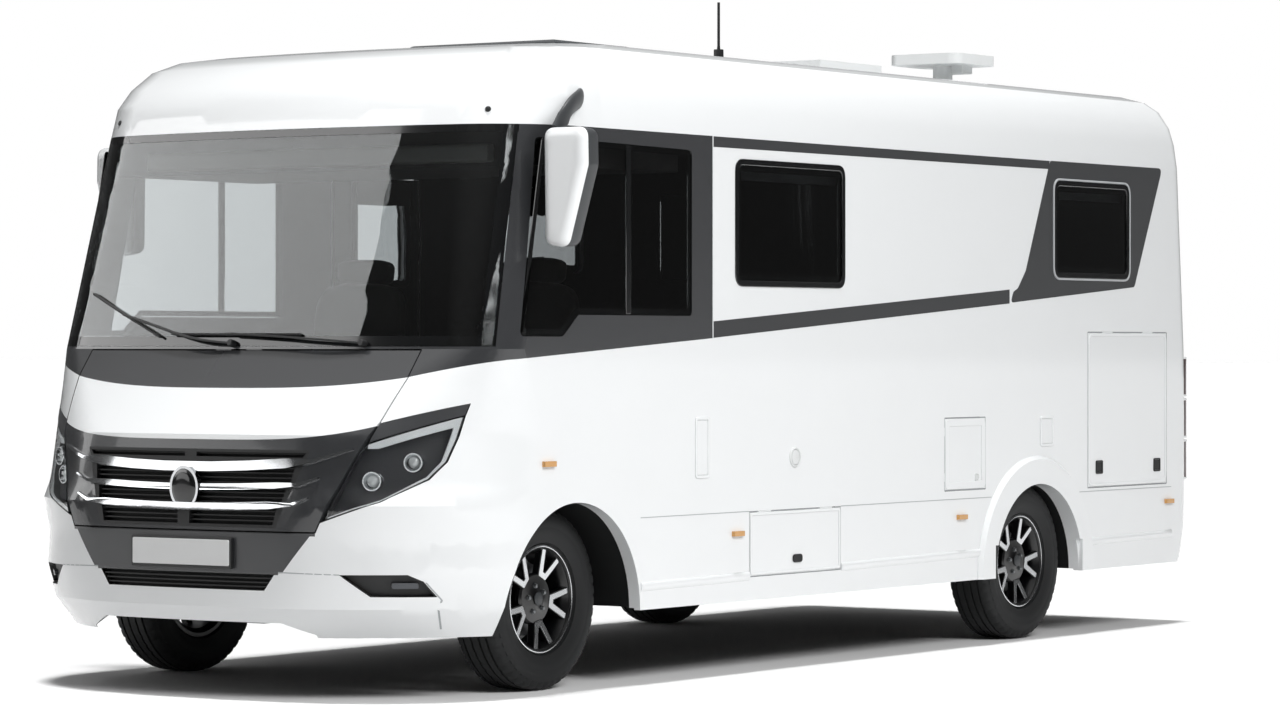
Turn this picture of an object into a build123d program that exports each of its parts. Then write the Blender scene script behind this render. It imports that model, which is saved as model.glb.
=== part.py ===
from build123d import *
import math
import os

# Motorhome with an integrated cab: millimetres, forward is -Y, the vehicle's left is +X, up is +Z.
# The origin lies on the ground at the centre of the overall length and width.

# Overall body
HALF_W = 1170.0
WALL = 30.0
GAP = 6.0
SILL_Z = 310.0
SKIRT_TOP_Z = 692.0
MASK_TOP_Z = 1390.0
GUTTER_Z = 2292.0
ROOF_Z = 2680.0
CAB_REAR_Y = -1175.0
CAP_REAR_Y = -2000.0
TAIL_SPLIT_Y = 3030.0
REAR_CORNER_R = 130.0
GLASS_T = 8.0
SEAT_GAP = 0.3
BARREL_R = GAP / 2 - SEAT_GAP

# Running gear
TYRE_R = 372.0
TYRE_W = 225.0
RIM_R = 205.0
RIM_LIP_R = 221.0
FRONT_Y = -2170.0
REAR_Y = 1630.0
FRONT_X = 905.0
REAR_X = 995.0
KING_X = 720.0
SPINDLE_R = 30.0
SPINDLE_FIT = 0.05
ARCH_FRONT_R = 450.0
ARCH_REAR_R = 425.0
ARCH_DROP = 54.0
FLARE_R = 560.0
FLARE_OUT = 22.0

# Plan sections of the moulded body, lowest first:
# height, nose y, nose radius, front corner radius, half width, tail y
STATIONS = (
    (250.0, -3190.0, 4500.0, 990.0, HALF_W, 3170.0),
    (367.0, -3245.0, 4500.0, 860.0, HALF_W, 3230.0),
    (505.0, -3244.0, 4500.0, 775.0, HALF_W, 3262.0),
    (640.0, -3244.0, 4500.0, 790.0, HALF_W, 3270.0),
    (775.0, -3236.0, 4500.0, 710.0, HALF_W, 3270.0),
    (840.0, -3218.0, 4500.0, 740.0, HALF_W, 3270.0),
    (1050.0, -3180.0, 4500.0, 750.0, HALF_W, 3270.0),
    (1240.0, -3010.0, 4500.0, 480.0, HALF_W, 3266.0),
    (MASK_TOP_Z, -2890.0, 4500.0, 260.0, HALF_W, 3262.0),
    (2296.0, -2645.0, 5000.0, 370.0, HALF_W, 3190.0),
    (2415.0, -2600.0, 4700.0, 340.0, HALF_W - 5, 3165.0),
    (2500.0, -2520.0, 4500.0, 315.0, HALF_W - 20, 3140.0),
    (2580.0, -2400.0, 4500.0, 290.0, HALF_W - 48, 3080.0),
    (2625.0, -2270.0, 4500.0, 300.0, HALF_W - 85, 3000.0),
    (2650.0, -2080.0, 4500.0, 300.0, HALF_W - 150, 2880.0),
    (ROOF_Z, -1700.0, 4500.0, 300.0, HALF_W - 470, 2500.0),
)
ROOF_TURN_Z = (2400.0, 2580.0)


def plan_face(height, nose, nose_r, corner_r, half_w, tail, inset):
    """One closed plan section: nose arc, two corner arcs, sides, tail corners and tail."""
    centre_y = nose + nose_r
    run = half_w - corner_r
    drop = math.sqrt((nose_r - corner_r) ** 2 - run**2)
    knee_y = centre_y - drop
    turn = math.atan2(run, drop)
    front_r = nose_r - inset
    bend_r = corner_r - inset
    width = half_w - inset
    back = tail - inset
    back_r = REAR_CORNER_R - inset
    nose_pt = Vector(0, centre_y - front_r)
    tip = Vector(front_r * math.sin(turn), centre_y - front_r * math.cos(turn))
    mid_turn = (turn + math.pi / 2) / 2
    mid = Vector(run + bend_r * math.sin(mid_turn), knee_y - bend_r * math.cos(mid_turn))
    end = Vector(width, knee_y)
    low = Vector(width, back - back_r)
    heel = Vector(width - back_r, back)
    heel_mid = Vector(width - back_r * (1 - math.sqrt(0.5)), back - back_r * (1 - math.sqrt(0.5)))

    def flip(point):
        return Vector(-point.X, point.Y)

    with BuildSketch(Plane.XY.offset(height)) as face:
        with BuildLine():
            ThreePointArc(flip(tip), nose_pt, tip)
            ThreePointArc(tip, mid, end)
            Line(end, low)
            ThreePointArc(low, heel_mid, heel)
            Line(heel, flip(heel))
            ThreePointArc(flip(heel), flip(heel_mid), flip(low))
            Line(flip(low), flip(end))
            ThreePointArc(flip(end), flip(mid), flip(tip))
        make_face()
    return face.sketch


def envelope(inset, below=0.0):
    """Solid inside the body's outer skin, moved in by inset, open downwards by below."""
    faces = []
    for height, nose, nose_r, corner_r, half_w, tail in STATIONS:
        lean = (height - ROOF_TURN_Z[0]) / (ROOF_TURN_Z[1] - ROOF_TURN_Z[0])
        level = height - inset * min(max(lean, 0.0), 1.0)
        if height == STATIONS[0][0]:
            level -= below
        faces.append(plan_face(level, nose, nose_r, corner_r, half_w, tail, inset))
    with BuildPart() as solid:
        loft(sections=faces, ruled=True)
    return solid.part


def front_prism(points, near=-3500.0, far=-2000.0, grow=0.0):
    """Prism along Y with its outline drawn in the front view, x to the left and z up."""
    with BuildPart() as tool:
        with BuildSketch(Plane.XZ.offset(-near)):
            Polygon(*points, align=None)
            if grow:
                offset(amount=grow)
        extrude(amount=near - far)
    return tool.part


def mirrored(points):
    """Left half outline from the bottom to the top, closed across the centre line."""
    return list(points) + [(-x, z) for x, z in reversed(points)]


def side_prism(points, side=1, inner=600.0, outer=1300.0, grow=0.0, round_r=0.0):
    """Prism along X with its outline drawn in the side view, y and z; side is 1 or -1."""
    start = inner if side > 0 else -outer
    with BuildPart() as tool:
        with BuildSketch(Plane.YZ.offset(start)) as view:
            Polygon(*points, align=None)
            if round_r:
                fillet(view.vertices(), radius=round_r)
            if grow:
                offset(amount=grow)
        extrude(amount=outer - inner)
    return tool.part


def block(x, y, z):
    """Box from three (low, high) pairs."""
    with BuildPart() as tool:
        with Locations(((x[0] + x[1]) / 2, (y[0] + y[1]) / 2, (z[0] + z[1]) / 2)):
            Box(x[1] - x[0], y[1] - y[0], z[1] - z[0])
    return tool.part


def rect(y0, y1, z0, z1):
    return [(y0, z0), (y1, z0), (y1, z1), (y0, z1)]


def arch(y, radius, side=0):
    """Wheel arch cutter across one side, or both."""
    spans = {0: (-1300.0, 1300.0), 1: (600.0, 1300.0), -1: (-1300.0, -600.0)}
    low, high = spans[side]
    with BuildPart() as tool:
        with BuildSketch(Plane.YZ.offset(low)):
            with Locations((y, TYRE_R - ARCH_DROP)):
                Circle(radius)
            with Locations((y, TYRE_R - ARCH_DROP - radius / 2)):
                Rectangle(2 * radius, radius)
        extrude(amount=high - low)
    return tool.part


def knuckles(direction, centre, spans, leaf, radius=BARREL_R):
    """Hinge barrels about an axis through centre, each with a leaf that reaches into the panel."""
    with BuildPart() as hinge:
        for low, high in spans:
            start = Vector(*centre) + Vector(*direction) * low
            end = Vector(*centre) + Vector(*direction) * high
            with Locations(Plane(start, z_dir=direction)):
                Cylinder(radius, high - low, align=(Align.CENTER, Align.CENTER, Align.MIN))
            tip = end + Vector(*leaf)
            add(block(sorted((start.X, tip.X)), sorted((start.Y, tip.Y)), sorted((start.Z, tip.Z))))
    return hinge.part


def save(builder, name):
    builder.part.label = name
    export_step(builder.part, f"parts/{name}.step")


os.makedirs("parts", exist_ok=True)

FAR = 4000.0
outer_skin = envelope(0.0)
inner_skin = envelope(WALL, below=60.0)
glass_back = envelope(GLASS_T, below=60.0)
with BuildPart() as shell_builder:
    add(outer_skin)
    add(inner_skin, mode=Mode.SUBTRACT)
shell = shell_builder.part
with BuildPart() as pane_builder:
    add(outer_skin)
    add(glass_back, mode=Mode.SUBTRACT)
pane_shell = pane_builder.part

# Openings drawn in the front view: half outlines, x and z
LID_HALF = ((626.0, 672.0), (659.0, 743.0), (763.0, 986.0), (817.0, 1103.0), (860.0, 1276.0),
            (862.0, MASK_TOP_Z - GAP))
HEADLIGHT = ((640.0, 704.0), (866.0, 790.0), (994.0, 876.0), (1034.0, 945.0), (1052.0, 1036.0),
             (1066.0, 1128.0), (1076.0, 1176.0), (817.0, 1098.0), (763.0, 986.0))
GRILLE_HALF = ((455.0, 684.0), (578.0, 992.0))
PLATE_HALF = ((488.0, 508.0), (612.0, 662.0))
INTAKE_HALF = ((405.0, 437.0), (452.0, 502.0))
LIP_HALF = ((972.0, 200.0), (981.0, 283.0), (1012.0, 340.0), (1017.0, 374.0), (1008.0, 415.0),
            (981.0, 478.0), (942.0, 505.0))
LIP_RISE_HALF = ((577.0, 200.0), (577.0, 262.0), (456.0, 308.0))
FOG = ((715.0, 510.0), (819.0, 418.0), (1040.0, 415.0), (1040.0, 510.0))
SCREEN_HALF = ((1128.0, MASK_TOP_Z + 10), (1080.0, GUTTER_Z))

# Openings drawn in the side view: y and z
CAB_WINDOW_FRONT = ((-2400.0, 2240.0), (-2560.0, 1440.0), (-2270.0, 1440.0), (-2160.0, 1528.0))
CAB_WINDOW_REAR = {1: -1334.0, -1: -1215.0}
CAB_WINDOWS = {side: CAB_WINDOW_FRONT + ((y, 1528.0), (y, 2226.0))
               for side, y in CAB_WINDOW_REAR.items()}
MID_WINDOW = rect(-995.0, -118.0, 1670.0, 2190.0)
REAR_WINDOW = rect(1808.0, 2570.0, 1732.0, 2198.0)
KITCHEN_WINDOW = rect(449.0, 1149.0, 1761.0, 2190.0)
GARAGE = rect(2150.0, 2972.0, 713.0, 1465.0)
CASSETTE = rect(770.0, 1141.0, 736.0, 1065.0)
LOCKER = rect(-885.0, -150.0, 415.0, SKIRT_TOP_Z - GAP)
LOCKER_HOLE = rect(-885.0 - GAP, -150.0 + GAP, 415.0 - GAP, SKIRT_TOP_Z + GAP)
DOOR = rect(-850.0, -200.0, 706.0, 2180.0)
DOOR_GLASS = rect(-690.0, -310.0, 1700.0, 2150.0)
WINDOW_R = 60.0

mask_region = block((-FAR, FAR), (-FAR, CAB_REAR_Y), (200, MASK_TOP_Z))
low_front = block((-FAR, FAR), (-FAR, FRONT_Y + ARCH_FRONT_R), (200, SKIRT_TOP_Z))
lid_hole = front_prism(mirrored(LID_HALF), far=-2500.0, grow=GAP)
lid_body = front_prism(mirrored(LID_HALF), far=-2500.0)
plate_body = front_prism(mirrored(PLATE_HALF), far=-2900.0)
intake_body = front_prism(mirrored(INTAKE_HALF), far=-2900.0)
lip_body = front_prism(mirrored(LIP_HALF), far=-2600.0)
lamp_left = front_prism(HEADLIGHT, far=-2600.0)
lamp_right = front_prism([(-x, z) for x, z in reversed(HEADLIGHT)], far=-2600.0)
fog_left = front_prism(FOG, far=-2700.0)
fog_right = front_prism([(-x, z) for x, z in reversed(FOG)], far=-2700.0)
screen_body = front_prism(mirrored(SCREEN_HALF), far=-2300.0)

# White moulded front with the fenders
with BuildPart() as front_mask:
    add(shell)
    add(mask_region, mode=Mode.INTERSECT)
    add(block((-FAR, FAR), (FRONT_Y + ARCH_FRONT_R, CAB_REAR_Y), (200, SKIRT_TOP_Z)),
        mode=Mode.SUBTRACT)
    for cutter in (lid_hole, plate_body, intake_body, lip_body, lamp_left, lamp_right):
        add(cutter, mode=Mode.SUBTRACT)
    add(arch(FRONT_Y, ARCH_FRONT_R), mode=Mode.SUBTRACT)
save(front_mask, "front_mask")

with BuildPart() as front_bumper:
    add(shell)
    add(lip_body, mode=Mode.INTERSECT)
    add(block((-FAR, FAR), (-FAR, -2600), (200, 505)), mode=Mode.INTERSECT)
    add(front_prism(mirrored(LIP_RISE_HALF), far=-2600.0), mode=Mode.SUBTRACT)
    for cutter in (intake_body, plate_body, fog_left, fog_right):
        add(cutter, mode=Mode.SUBTRACT)
save(front_bumper, "front_bumper")

with BuildPart() as plate_panel:
    add(shell)
    add(plate_body, mode=Mode.INTERSECT)
save(plate_panel, "plate_panel")

with BuildPart() as headlights:
    add(shell)
    add(lamp_left, mode=Mode.INTERSECT)
    add(lid_hole, mode=Mode.SUBTRACT)
    mirror(about=Plane.YZ)
save(headlights, "headlights")

BONNET_AXIS = (0.0, -2893.0, MASK_TOP_Z - GAP / 2)
with BuildPart() as bonnet:
    add(shell)
    add(lid_body, mode=Mode.INTERSECT)
    add(front_prism(mirrored(GRILLE_HALF), far=-2500.0), mode=Mode.SUBTRACT)
    add(knuckles((1, 0, 0), BONNET_AXIS, ((-120, -40), (40, 120)), (0, 8, -GAP / 2 - 1)))
save(bonnet, "bonnet")

with BuildPart() as cab_frame:
    add(shell)
    add(block((-FAR, FAR), (-FAR, CAB_REAR_Y), (MASK_TOP_Z, GUTTER_Z)), mode=Mode.INTERSECT)
    add(screen_body, mode=Mode.SUBTRACT)
    for side in (1, -1):
        add(side_prism(CAB_WINDOWS[side], side, round_r=20), mode=Mode.SUBTRACT)
save(cab_frame, "cab_frame")

with BuildPart() as windscreen:
    add(pane_shell)
    add(screen_body, mode=Mode.INTERSECT)
save(windscreen, "windscreen")

with BuildPart() as front_cap:
    add(shell)
    add(block((-FAR, FAR), (-FAR, CAP_REAR_Y), (GUTTER_Z, FAR)), mode=Mode.INTERSECT)
save(front_cap, "front_cap")

with BuildPart() as roof_panel:
    add(shell)
    add(block((-FAR, FAR), (CAP_REAR_Y, FAR), (GUTTER_Z, FAR)), mode=Mode.INTERSECT)
    add(block((-370, 370), (-1220, -680), (GUTTER_Z, FAR)), mode=Mode.SUBTRACT)
save(roof_panel, "roof_panel")

wall_zone = {1: block((0, FAR), (CAB_REAR_Y, TAIL_SPLIT_Y), (SKIRT_TOP_Z, GUTTER_Z)),
             -1: block((-FAR, 0), (CAB_REAR_Y, TAIL_SPLIT_Y), (SKIRT_TOP_Z, GUTTER_Z))}
with BuildPart() as side_wall_left:
    add(shell)
    add(wall_zone[1], mode=Mode.INTERSECT)
    for outline in (MID_WINDOW, REAR_WINDOW):
        add(side_prism(outline, 1, round_r=WINDOW_R), mode=Mode.SUBTRACT)
    for outline in (GARAGE, CASSETTE):
        add(side_prism(outline, 1, grow=GAP), mode=Mode.SUBTRACT)
    add(arch(REAR_Y, ARCH_REAR_R, 1), mode=Mode.SUBTRACT)
save(side_wall_left, "side_wall_left")

with BuildPart() as side_wall_right:
    add(shell)
    add(wall_zone[-1], mode=Mode.INTERSECT)
    for outline in (KITCHEN_WINDOW, REAR_WINDOW):
        add(side_prism(outline, -1, round_r=WINDOW_R), mode=Mode.SUBTRACT)
    for outline in (GARAGE, DOOR):
        add(side_prism(outline, -1, grow=GAP), mode=Mode.SUBTRACT)
    add(arch(REAR_Y, ARCH_REAR_R, -1), mode=Mode.SUBTRACT)
save(side_wall_right, "side_wall_right")

with BuildPart() as rear_wall:
    add(shell)
    add(block((-FAR, FAR), (TAIL_SPLIT_Y, FAR), (SKIRT_TOP_Z, GUTTER_Z)), mode=Mode.INTERSECT)
save(rear_wall, "rear_wall")

with BuildPart() as rear_bumper:
    add(shell)
    add(block((-FAR, FAR), (TAIL_SPLIT_Y, FAR), (SILL_Z, SKIRT_TOP_Z)), mode=Mode.INTERSECT)
save(rear_bumper, "rear_bumper")

with BuildPart() as skirts:
    add(shell)
    add(block((-FAR, FAR), (FRONT_Y + ARCH_FRONT_R, TAIL_SPLIT_Y), (SILL_Z, SKIRT_TOP_Z)),
        mode=Mode.INTERSECT)
    add(side_prism(LOCKER_HOLE, 1), mode=Mode.SUBTRACT)
    add(arch(REAR_Y, ARCH_REAR_R), mode=Mode.SUBTRACT)
save(skirts, "skirts")


def skin_y(x, z):
    """Nose surface of the body at a place in the front view."""
    low, high = STATIONS[0], STATIONS[-1]
    for below, above in zip(STATIONS, STATIONS[1:]):
        if below[0] <= z <= above[0]:
            low, high = below, above
    share = (z - low[0]) / (high[0] - low[0])
    nose, nose_r, corner_r, half_w = (low[i] + share * (high[i] - low[i]) for i in (1, 2, 3, 4))
    run = half_w - corner_r
    drop = math.sqrt((nose_r - corner_r) ** 2 - run**2)
    turn = math.atan2(run, drop)
    if abs(x) <= nose_r * math.sin(turn):
        return nose + nose_r - math.sqrt(nose_r**2 - x**2)
    return nose + nose_r - drop - math.sqrt(corner_r**2 - (abs(x) - run) ** 2)


def rod(points, radius, bend=0.0):
    """Round bar along straight runs, with its corners bent where bend is set."""
    with BuildPart() as bar:
        with BuildLine() as path:
            if bend:
                FilletPolyline(*points, radius=bend)
            else:
                Polyline(*points)
        with BuildSketch(Plane(origin=path.line @ 0, z_dir=path.line % 0)):
            Circle(radius)
        sweep(transition=Transition.RIGHT)
    return bar.part


# Glazing of the cab sides, living area and bedroom
with BuildPart() as pane_outlines:
    for side in (1, -1):
        add(side_prism(CAB_WINDOWS[side], side, round_r=20))
        add(side_prism(REAR_WINDOW, side, round_r=WINDOW_R))
    add(side_prism(MID_WINDOW, 1, round_r=WINDOW_R))
    add(side_prism(KITCHEN_WINDOW, -1, round_r=WINDOW_R))
with BuildPart() as windows:
    add(pane_shell)
    add(pane_outlines.part, mode=Mode.INTERSECT)
save(windows, "windows")

# Doors and flaps, each as thick as its wall
with BuildPart() as entrance_door:
    add(side_prism(DOOR, -1, HALF_W - WALL, HALF_W))
    add(side_prism(DOOR_GLASS, -1, round_r=40), mode=Mode.SUBTRACT)
    add(knuckles((0, 0, 1), (-HALF_W, DOOR[0][0] - GAP / 2, 0), ((850, 930), (1400, 1480), (1990, 2070)),
                 (6, GAP / 2 + 1, 0)))
save(entrance_door, "entrance_door")

with BuildPart() as door_window:
    add(side_prism(DOOR_GLASS, -1, HALF_W - GLASS_T, HALF_W, round_r=40))
save(door_window, "door_window")

# name, outline, side, hinge spans along Y on the top edge, hinge spans along Z on the front edge
FLAPS = (
    ("garage_door_left", GARAGE, 1, ((2300, 2400), (2720, 2820)), ()),
    ("garage_door_right", GARAGE, -1, ((2300, 2400), (2720, 2820)), ()),
    ("cassette_flap", CASSETTE, 1, (), ((775, 815), (985, 1025))),
    ("locker_flap", LOCKER, 1, ((-820, -720), (-320, -220)), ()),
)
for name, outline, side, top_spans, edge_spans in FLAPS:
    with BuildPart() as flap:
        add(side_prism(outline, side, HALF_W - WALL, HALF_W))
        if top_spans:
            add(knuckles((0, 1, 0), (side * HALF_W, 0, outline[2][1] + GAP / 2), top_spans,
                         (-6 * side, 0, -GAP / 2 - 1)))
        if edge_spans:
            add(knuckles((0, 0, 1), (side * HALF_W, outline[0][0] - GAP / 2, 0), edge_spans,
                         (-6 * side, GAP / 2 + 1, 0)))
    save(flap, name)

# Rear wheel arch flares
with BuildPart() as arch_flares:
    with BuildSketch(Plane.YZ.offset(HALF_W)):
        with Locations((REAR_Y, TYRE_R - ARCH_DROP)):
            Circle(FLARE_R)
            Circle(ARCH_REAR_R, mode=Mode.SUBTRACT)
        with Locations((REAR_Y, SILL_Z - FLARE_R / 2)):
            Rectangle(3 * FLARE_R, FLARE_R, mode=Mode.SUBTRACT)
        with Locations((REAR_Y, SILL_Z / 2)):
            Rectangle(2 * ARCH_REAR_R, 2 * SILL_Z, mode=Mode.SUBTRACT)
    extrude(amount=FLARE_OUT)
    chamfer(arch_flares.faces().sort_by(Axis.X)[-1].edges().filter_by(GeomType.CIRCLE).sort_by(
        SortBy.RADIUS)[-1], length=FLARE_OUT * 0.8)
    mirror(about=Plane.YZ)
save(arch_flares, "arch_flares")

# Grille: black lattice behind the chrome bars
GRILLE_ROWS = ((696.0, 760.0), (780.0, 838.0), (858.0, 936.0), (962.0, 980.0))
# height at the kinks, half length between them, half thickness in the middle, sag,
# reach and rise of the tips outside the kinks
BARS = (
    (950.0, 600.0, 19.0, 28.0, 150.0, 48.0),
    (858.0, 553.0, 12.0, 16.0, 75.0, 26.0),
    (778.0, 528.0, 15.0, 14.0, 70.0, 27.0),
)
BAR_END = 6.0
BAR_TIP = 3.0
BAR_STEPS = (0.2, 0.5, 0.8)


def bar_outline(height, half, thick, sag, reach, rise):
    """Front view of one bar: it sags between its kinks and ends in thin upturned tips."""
    lower = [(half * step, height - sag * (1 - step**2) - thick) for step in BAR_STEPS]
    upper = [(x, z + 2 * thick) for x, z in reversed(lower)]
    tip = [(half, height - BAR_END), (half + reach, height + rise - BAR_TIP),
           (half + reach, height + rise + BAR_TIP), (half, height + BAR_END)]
    right = lower + tip + upper
    return right + [(-x, z) for x, z in reversed(right)]


with BuildPart() as grille:
    add(shell)
    add(front_prism(mirrored(GRILLE_HALF), far=-2500.0), mode=Mode.INTERSECT)
    for low, high in GRILLE_ROWS:
        half = GRILLE_HALF[0][0] - 20 + (low - GRILLE_HALF[0][1]) * 0.4
        add(front_prism([(30, low), (half, low), (half + 16, high), (30, high)], far=-2500.0),
            mode=Mode.SUBTRACT)
        add(front_prism([(-30, low), (-30, high), (-half - 16, high), (-half, low)], far=-2500.0),
            mode=Mode.SUBTRACT)
save(grille, "grille")

with BuildPart() as proud_skin:
    for bar in BARS:
        add(front_prism(bar_outline(*bar), far=-2900.0))
with BuildPart() as chrome_skin:
    add(envelope(-14.0))
    add(outer_skin, mode=Mode.SUBTRACT)
with BuildPart() as grille_bars:
    add(chrome_skin.part)
    add(proud_skin.part, mode=Mode.INTERSECT)
    with BuildSketch(Plane.XZ.offset(-STATIONS[5][1] - 8)):
        with Locations((0, 837)):
            Ellipse(74, 88)
            Ellipse(58, 72, mode=Mode.SUBTRACT)
    extrude(amount=28)
    add(outer_skin, mode=Mode.SUBTRACT)
save(grille_bars, "grille_bars")

# Lamps on the tail corners and amber markers along both sides
MARKERS = ((-2373.0, 929.0), (-987.0, 600.0), (917.0, 608.0), (2995.0, 620.0))
LAMP_Z = ((725.0, 925.0), (935.0, 1135.0), (1145.0, 1345.0))
with BuildPart() as lamps:
    for side in (1, -1):
        for low, high in LAMP_Z:
            with Locations((side * (HALF_W - 75), 3205, (low + high) / 2)):
                Cylinder(62, high - low)
        for y, z in MARKERS:
            with Locations((side * (HALF_W + 5), y, z)):
                Box(20, 80, 22)
    add(outer_skin, mode=Mode.SUBTRACT)
save(lamps, "lamps")

# Door mirrors: the left one hangs ahead of its pillar, the right one is folded back
# side, x and y of the head, elbow of the arm, height of its knee
MIRRORS = (
    (1, 1365.0, -2490.0, (1270.0, -2240.0, 2440.0), 2410.0),
    (-1, 1290.0, -2150.0, (1200.0, -2135.0, 2440.0), 2425.0),
)
MIRROR_Z = (1790.0, 2268.0)
MIRROR_DEPTH = 120.0
ARM_ROOT = (1120.0, -2130.0, 2405.0)
with BuildPart() as mirrors:
    for side, x, y, elbow, knee_z in MIRRORS:
        head = [(x - 96, MIRROR_Z[0] + 14), (x + 8, MIRROR_Z[0]), (x + 103, MIRROR_Z[1] - 150),
                (x + 100, MIRROR_Z[1]), (x - 103, MIRROR_Z[1])]
        if side < 0:
            head = [(-a, b) for a, b in reversed(head)]
        with BuildSketch(Plane.XZ.offset(-y - MIRROR_DEPTH / 2)):
            Polygon(*head, align=None)
        extrude(amount=MIRROR_DEPTH)
    fillet(mirrors.edges(), radius=30)
save(mirrors, "mirrors")

with BuildPart() as mirror_arms:
    for side, x, y, elbow, knee_z in MIRRORS:
        path = [ARM_ROOT, elbow, (x, y, knee_z), (x, y, MIRROR_Z[1] - 20)]
        add(rod([(side * a, b, c) for a, b, c in path], 27, bend=60))
    add(outer_skin, mode=Mode.SUBTRACT)
    add(mirrors.part, mode=Mode.SUBTRACT)
save(mirror_arms, "mirror_arms")

# Wipers parked on the glass
WIPER_LIFT = 24.0
WIPER_Z = 1418.0
with BuildPart() as wipers:
    for pivot_x, blade in ((-10.0, ((-790.0, 1560.0), (-250.0, 1412.0))),
                           (600.0, ((-110.0, 1462.0), (440.0, 1420.0)))):
        pivot = (pivot_x, skin_y(pivot_x, WIPER_Z) - WIPER_LIFT, WIPER_Z)
        centre = ((blade[0][0] + blade[1][0]) / 2, (blade[0][1] + blade[1][1]) / 2)
        mid_x = (pivot_x + centre[0]) / 2
        mid = (mid_x, skin_y(mid_x, 1436) - WIPER_LIFT - 14, 1436)
        saddle = (centre[0], skin_y(*centre) - WIPER_LIFT + 6, centre[1])
        add(rod([pivot, mid, (saddle[0], saddle[1] - 6, saddle[2])], 9))
        ends = [(x, skin_y(x, z) - WIPER_LIFT + 10, z) for x, z in blade]
        add(rod([ends[0], saddle, ends[1]], 10))
        with BuildSketch(Plane.XZ.offset(-pivot[1] - WIPER_LIFT - 10)):
            with Locations((pivot_x, WIPER_Z)):
                Circle(14)
        extrude(amount=WIPER_LIFT + 22)
    add(outer_skin, mode=Mode.SUBTRACT)
save(wipers, "wipers")

# Roof gear: lid of the roof light, fixed vent, flat aerial on its foot and the whip aerial
HATCH = (400.0, -1250.0, -650.0)
HATCH_PIN_R = 6.0
with BuildPart() as roof_hatch:
    with Locations((0, (HATCH[1] + HATCH[2]) / 2, ROOF_Z + 30.3)):
        Box(2 * HATCH[0], HATCH[2] - HATCH[1], 40)
    fillet(roof_hatch.faces().sort_by(Axis.Z)[-1].edges(), radius=25)
    add(knuckles((1, 0, 0), (0, HATCH[2] + HATCH_PIN_R + 1, ROOF_Z + 10 + SEAT_GAP + HATCH_PIN_R),
                 ((-300, -200), (200, 300)), (0, -HATCH_PIN_R - 3, 4), HATCH_PIN_R))
save(roof_hatch, "roof_hatch")

AERIAL = (450.0, 1980.0)
AERIAL_FOOT_R = 48.0
AERIAL_Z = (ROOF_Z + 104, ROOF_Z + 154)
with BuildPart() as roof_gear:
    add(block((-420, 420), (-1270, -630), (ROOF_Z - 8, ROOF_Z + 10)))
    add(block((-370, 370), (-1220, -680), (ROOF_Z - 40, ROOF_Z + 40)), mode=Mode.SUBTRACT)
    add(block((150, 600), (600, 1150), (ROOF_Z - 6, ROOF_Z + 55)))
    with BuildSketch(Plane.XY.offset(ROOF_Z - 30)):
        with Locations(AERIAL):
            Circle(AERIAL_FOOT_R)
    extrude(amount=AERIAL_Z[0] - ROOF_Z + 30)
    add(block((AERIAL[0], AERIAL[0] + 110), (AERIAL[1], AERIAL[1] + 100),
              (AERIAL_Z[0] - 38, AERIAL_Z[0])))
    with BuildSketch(Plane.XY.offset(AERIAL_Z[0])):
        with Locations(AERIAL):
            RectangleRounded(400, 400, 60)
    extrude(amount=AERIAL_Z[1] - AERIAL_Z[0])
    with Locations((900, -719, 2780)):
        Cylinder(5, 240)
    with Locations((900, -719, 2672)):
        Cylinder(20, 40)
    add(outer_skin, mode=Mode.SUBTRACT)
save(roof_gear, "roof_gear")

# Underside: ladder frame, axles, engine, tanks and exhaust
FLOOR_Z = 640.0
TOW_EYE_R = 10.0
RAIL_X = (385.0, 445.0)
with BuildPart() as chassis_frame:
    for side in (1, -1):
        start = RAIL_X[0] if side > 0 else -RAIL_X[1]
        with BuildSketch(Plane.YZ.offset(start)):
            Polygon((-3080, 330), (-1900, 330), (-1600, 480), (1300, 480), (1330, 300),
                    (1700, 300), (1740, 480), (2900, 480), (2900, FLOOR_Z), (-1650, FLOOR_Z),
                    (-1950, 430), (-3080, 430), align=None)
        extrude(amount=RAIL_X[1] - RAIL_X[0])
    for y, z0, z1 in ((-3060, 330, 500), (-1500, 500, 620), (-300, 500, 620), (900, 500, 620),
                      (2200, 500, 620), (2880, 480, 640)):
        add(block((-RAIL_X[1], RAIL_X[1]), (y - 20, y + 20), (z0, z1)))
    with BuildSketch(Plane.XZ.offset(-2900)):
        with GridLocations(120, 80, 2, 2):
            with Locations((0, 560)):
                Circle(6.5)
    extrude(amount=40, mode=Mode.SUBTRACT)
    with Locations(Plane((300, -3080, 470), z_dir=(0, -1, 0))):
        Hole(TOW_EYE_R, depth=40)
save(chassis_frame, "chassis_frame")

with BuildPart() as engine_block:
    add(block((-370, 370), (-3030, -2640), (440, 1000)))
    add(block((-384.7, 384.7), (-2900, -2800), (360, 445)))
save(engine_block, "engine_block")

with BuildPart() as front_suspension:
    add(block((-470, 470), (FRONT_Y - 60, FRONT_Y + 60), (240, 330)))
    for side in (1, -1):
        add(block(sorted((side * 430, side * 700)), (FRONT_Y - 40, FRONT_Y + 40), (222, 249.7)))
        with Locations((side * KING_X, FRONT_Y, 235.85)):
            Cylinder(38, 27.7)
save(front_suspension, "front_suspension")

with BuildPart() as rear_axle:
    with Locations((0, REAR_Y, TYRE_R)):
        Cylinder(45, 2 * 860, rotation=(0, 90, 0))
        Cylinder(SPINDLE_R, 2 * (REAR_X + 20), rotation=(0, 90, 0))
    add(chassis_frame.part, mode=Mode.SUBTRACT)
save(rear_axle, "rear_axle")

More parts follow.
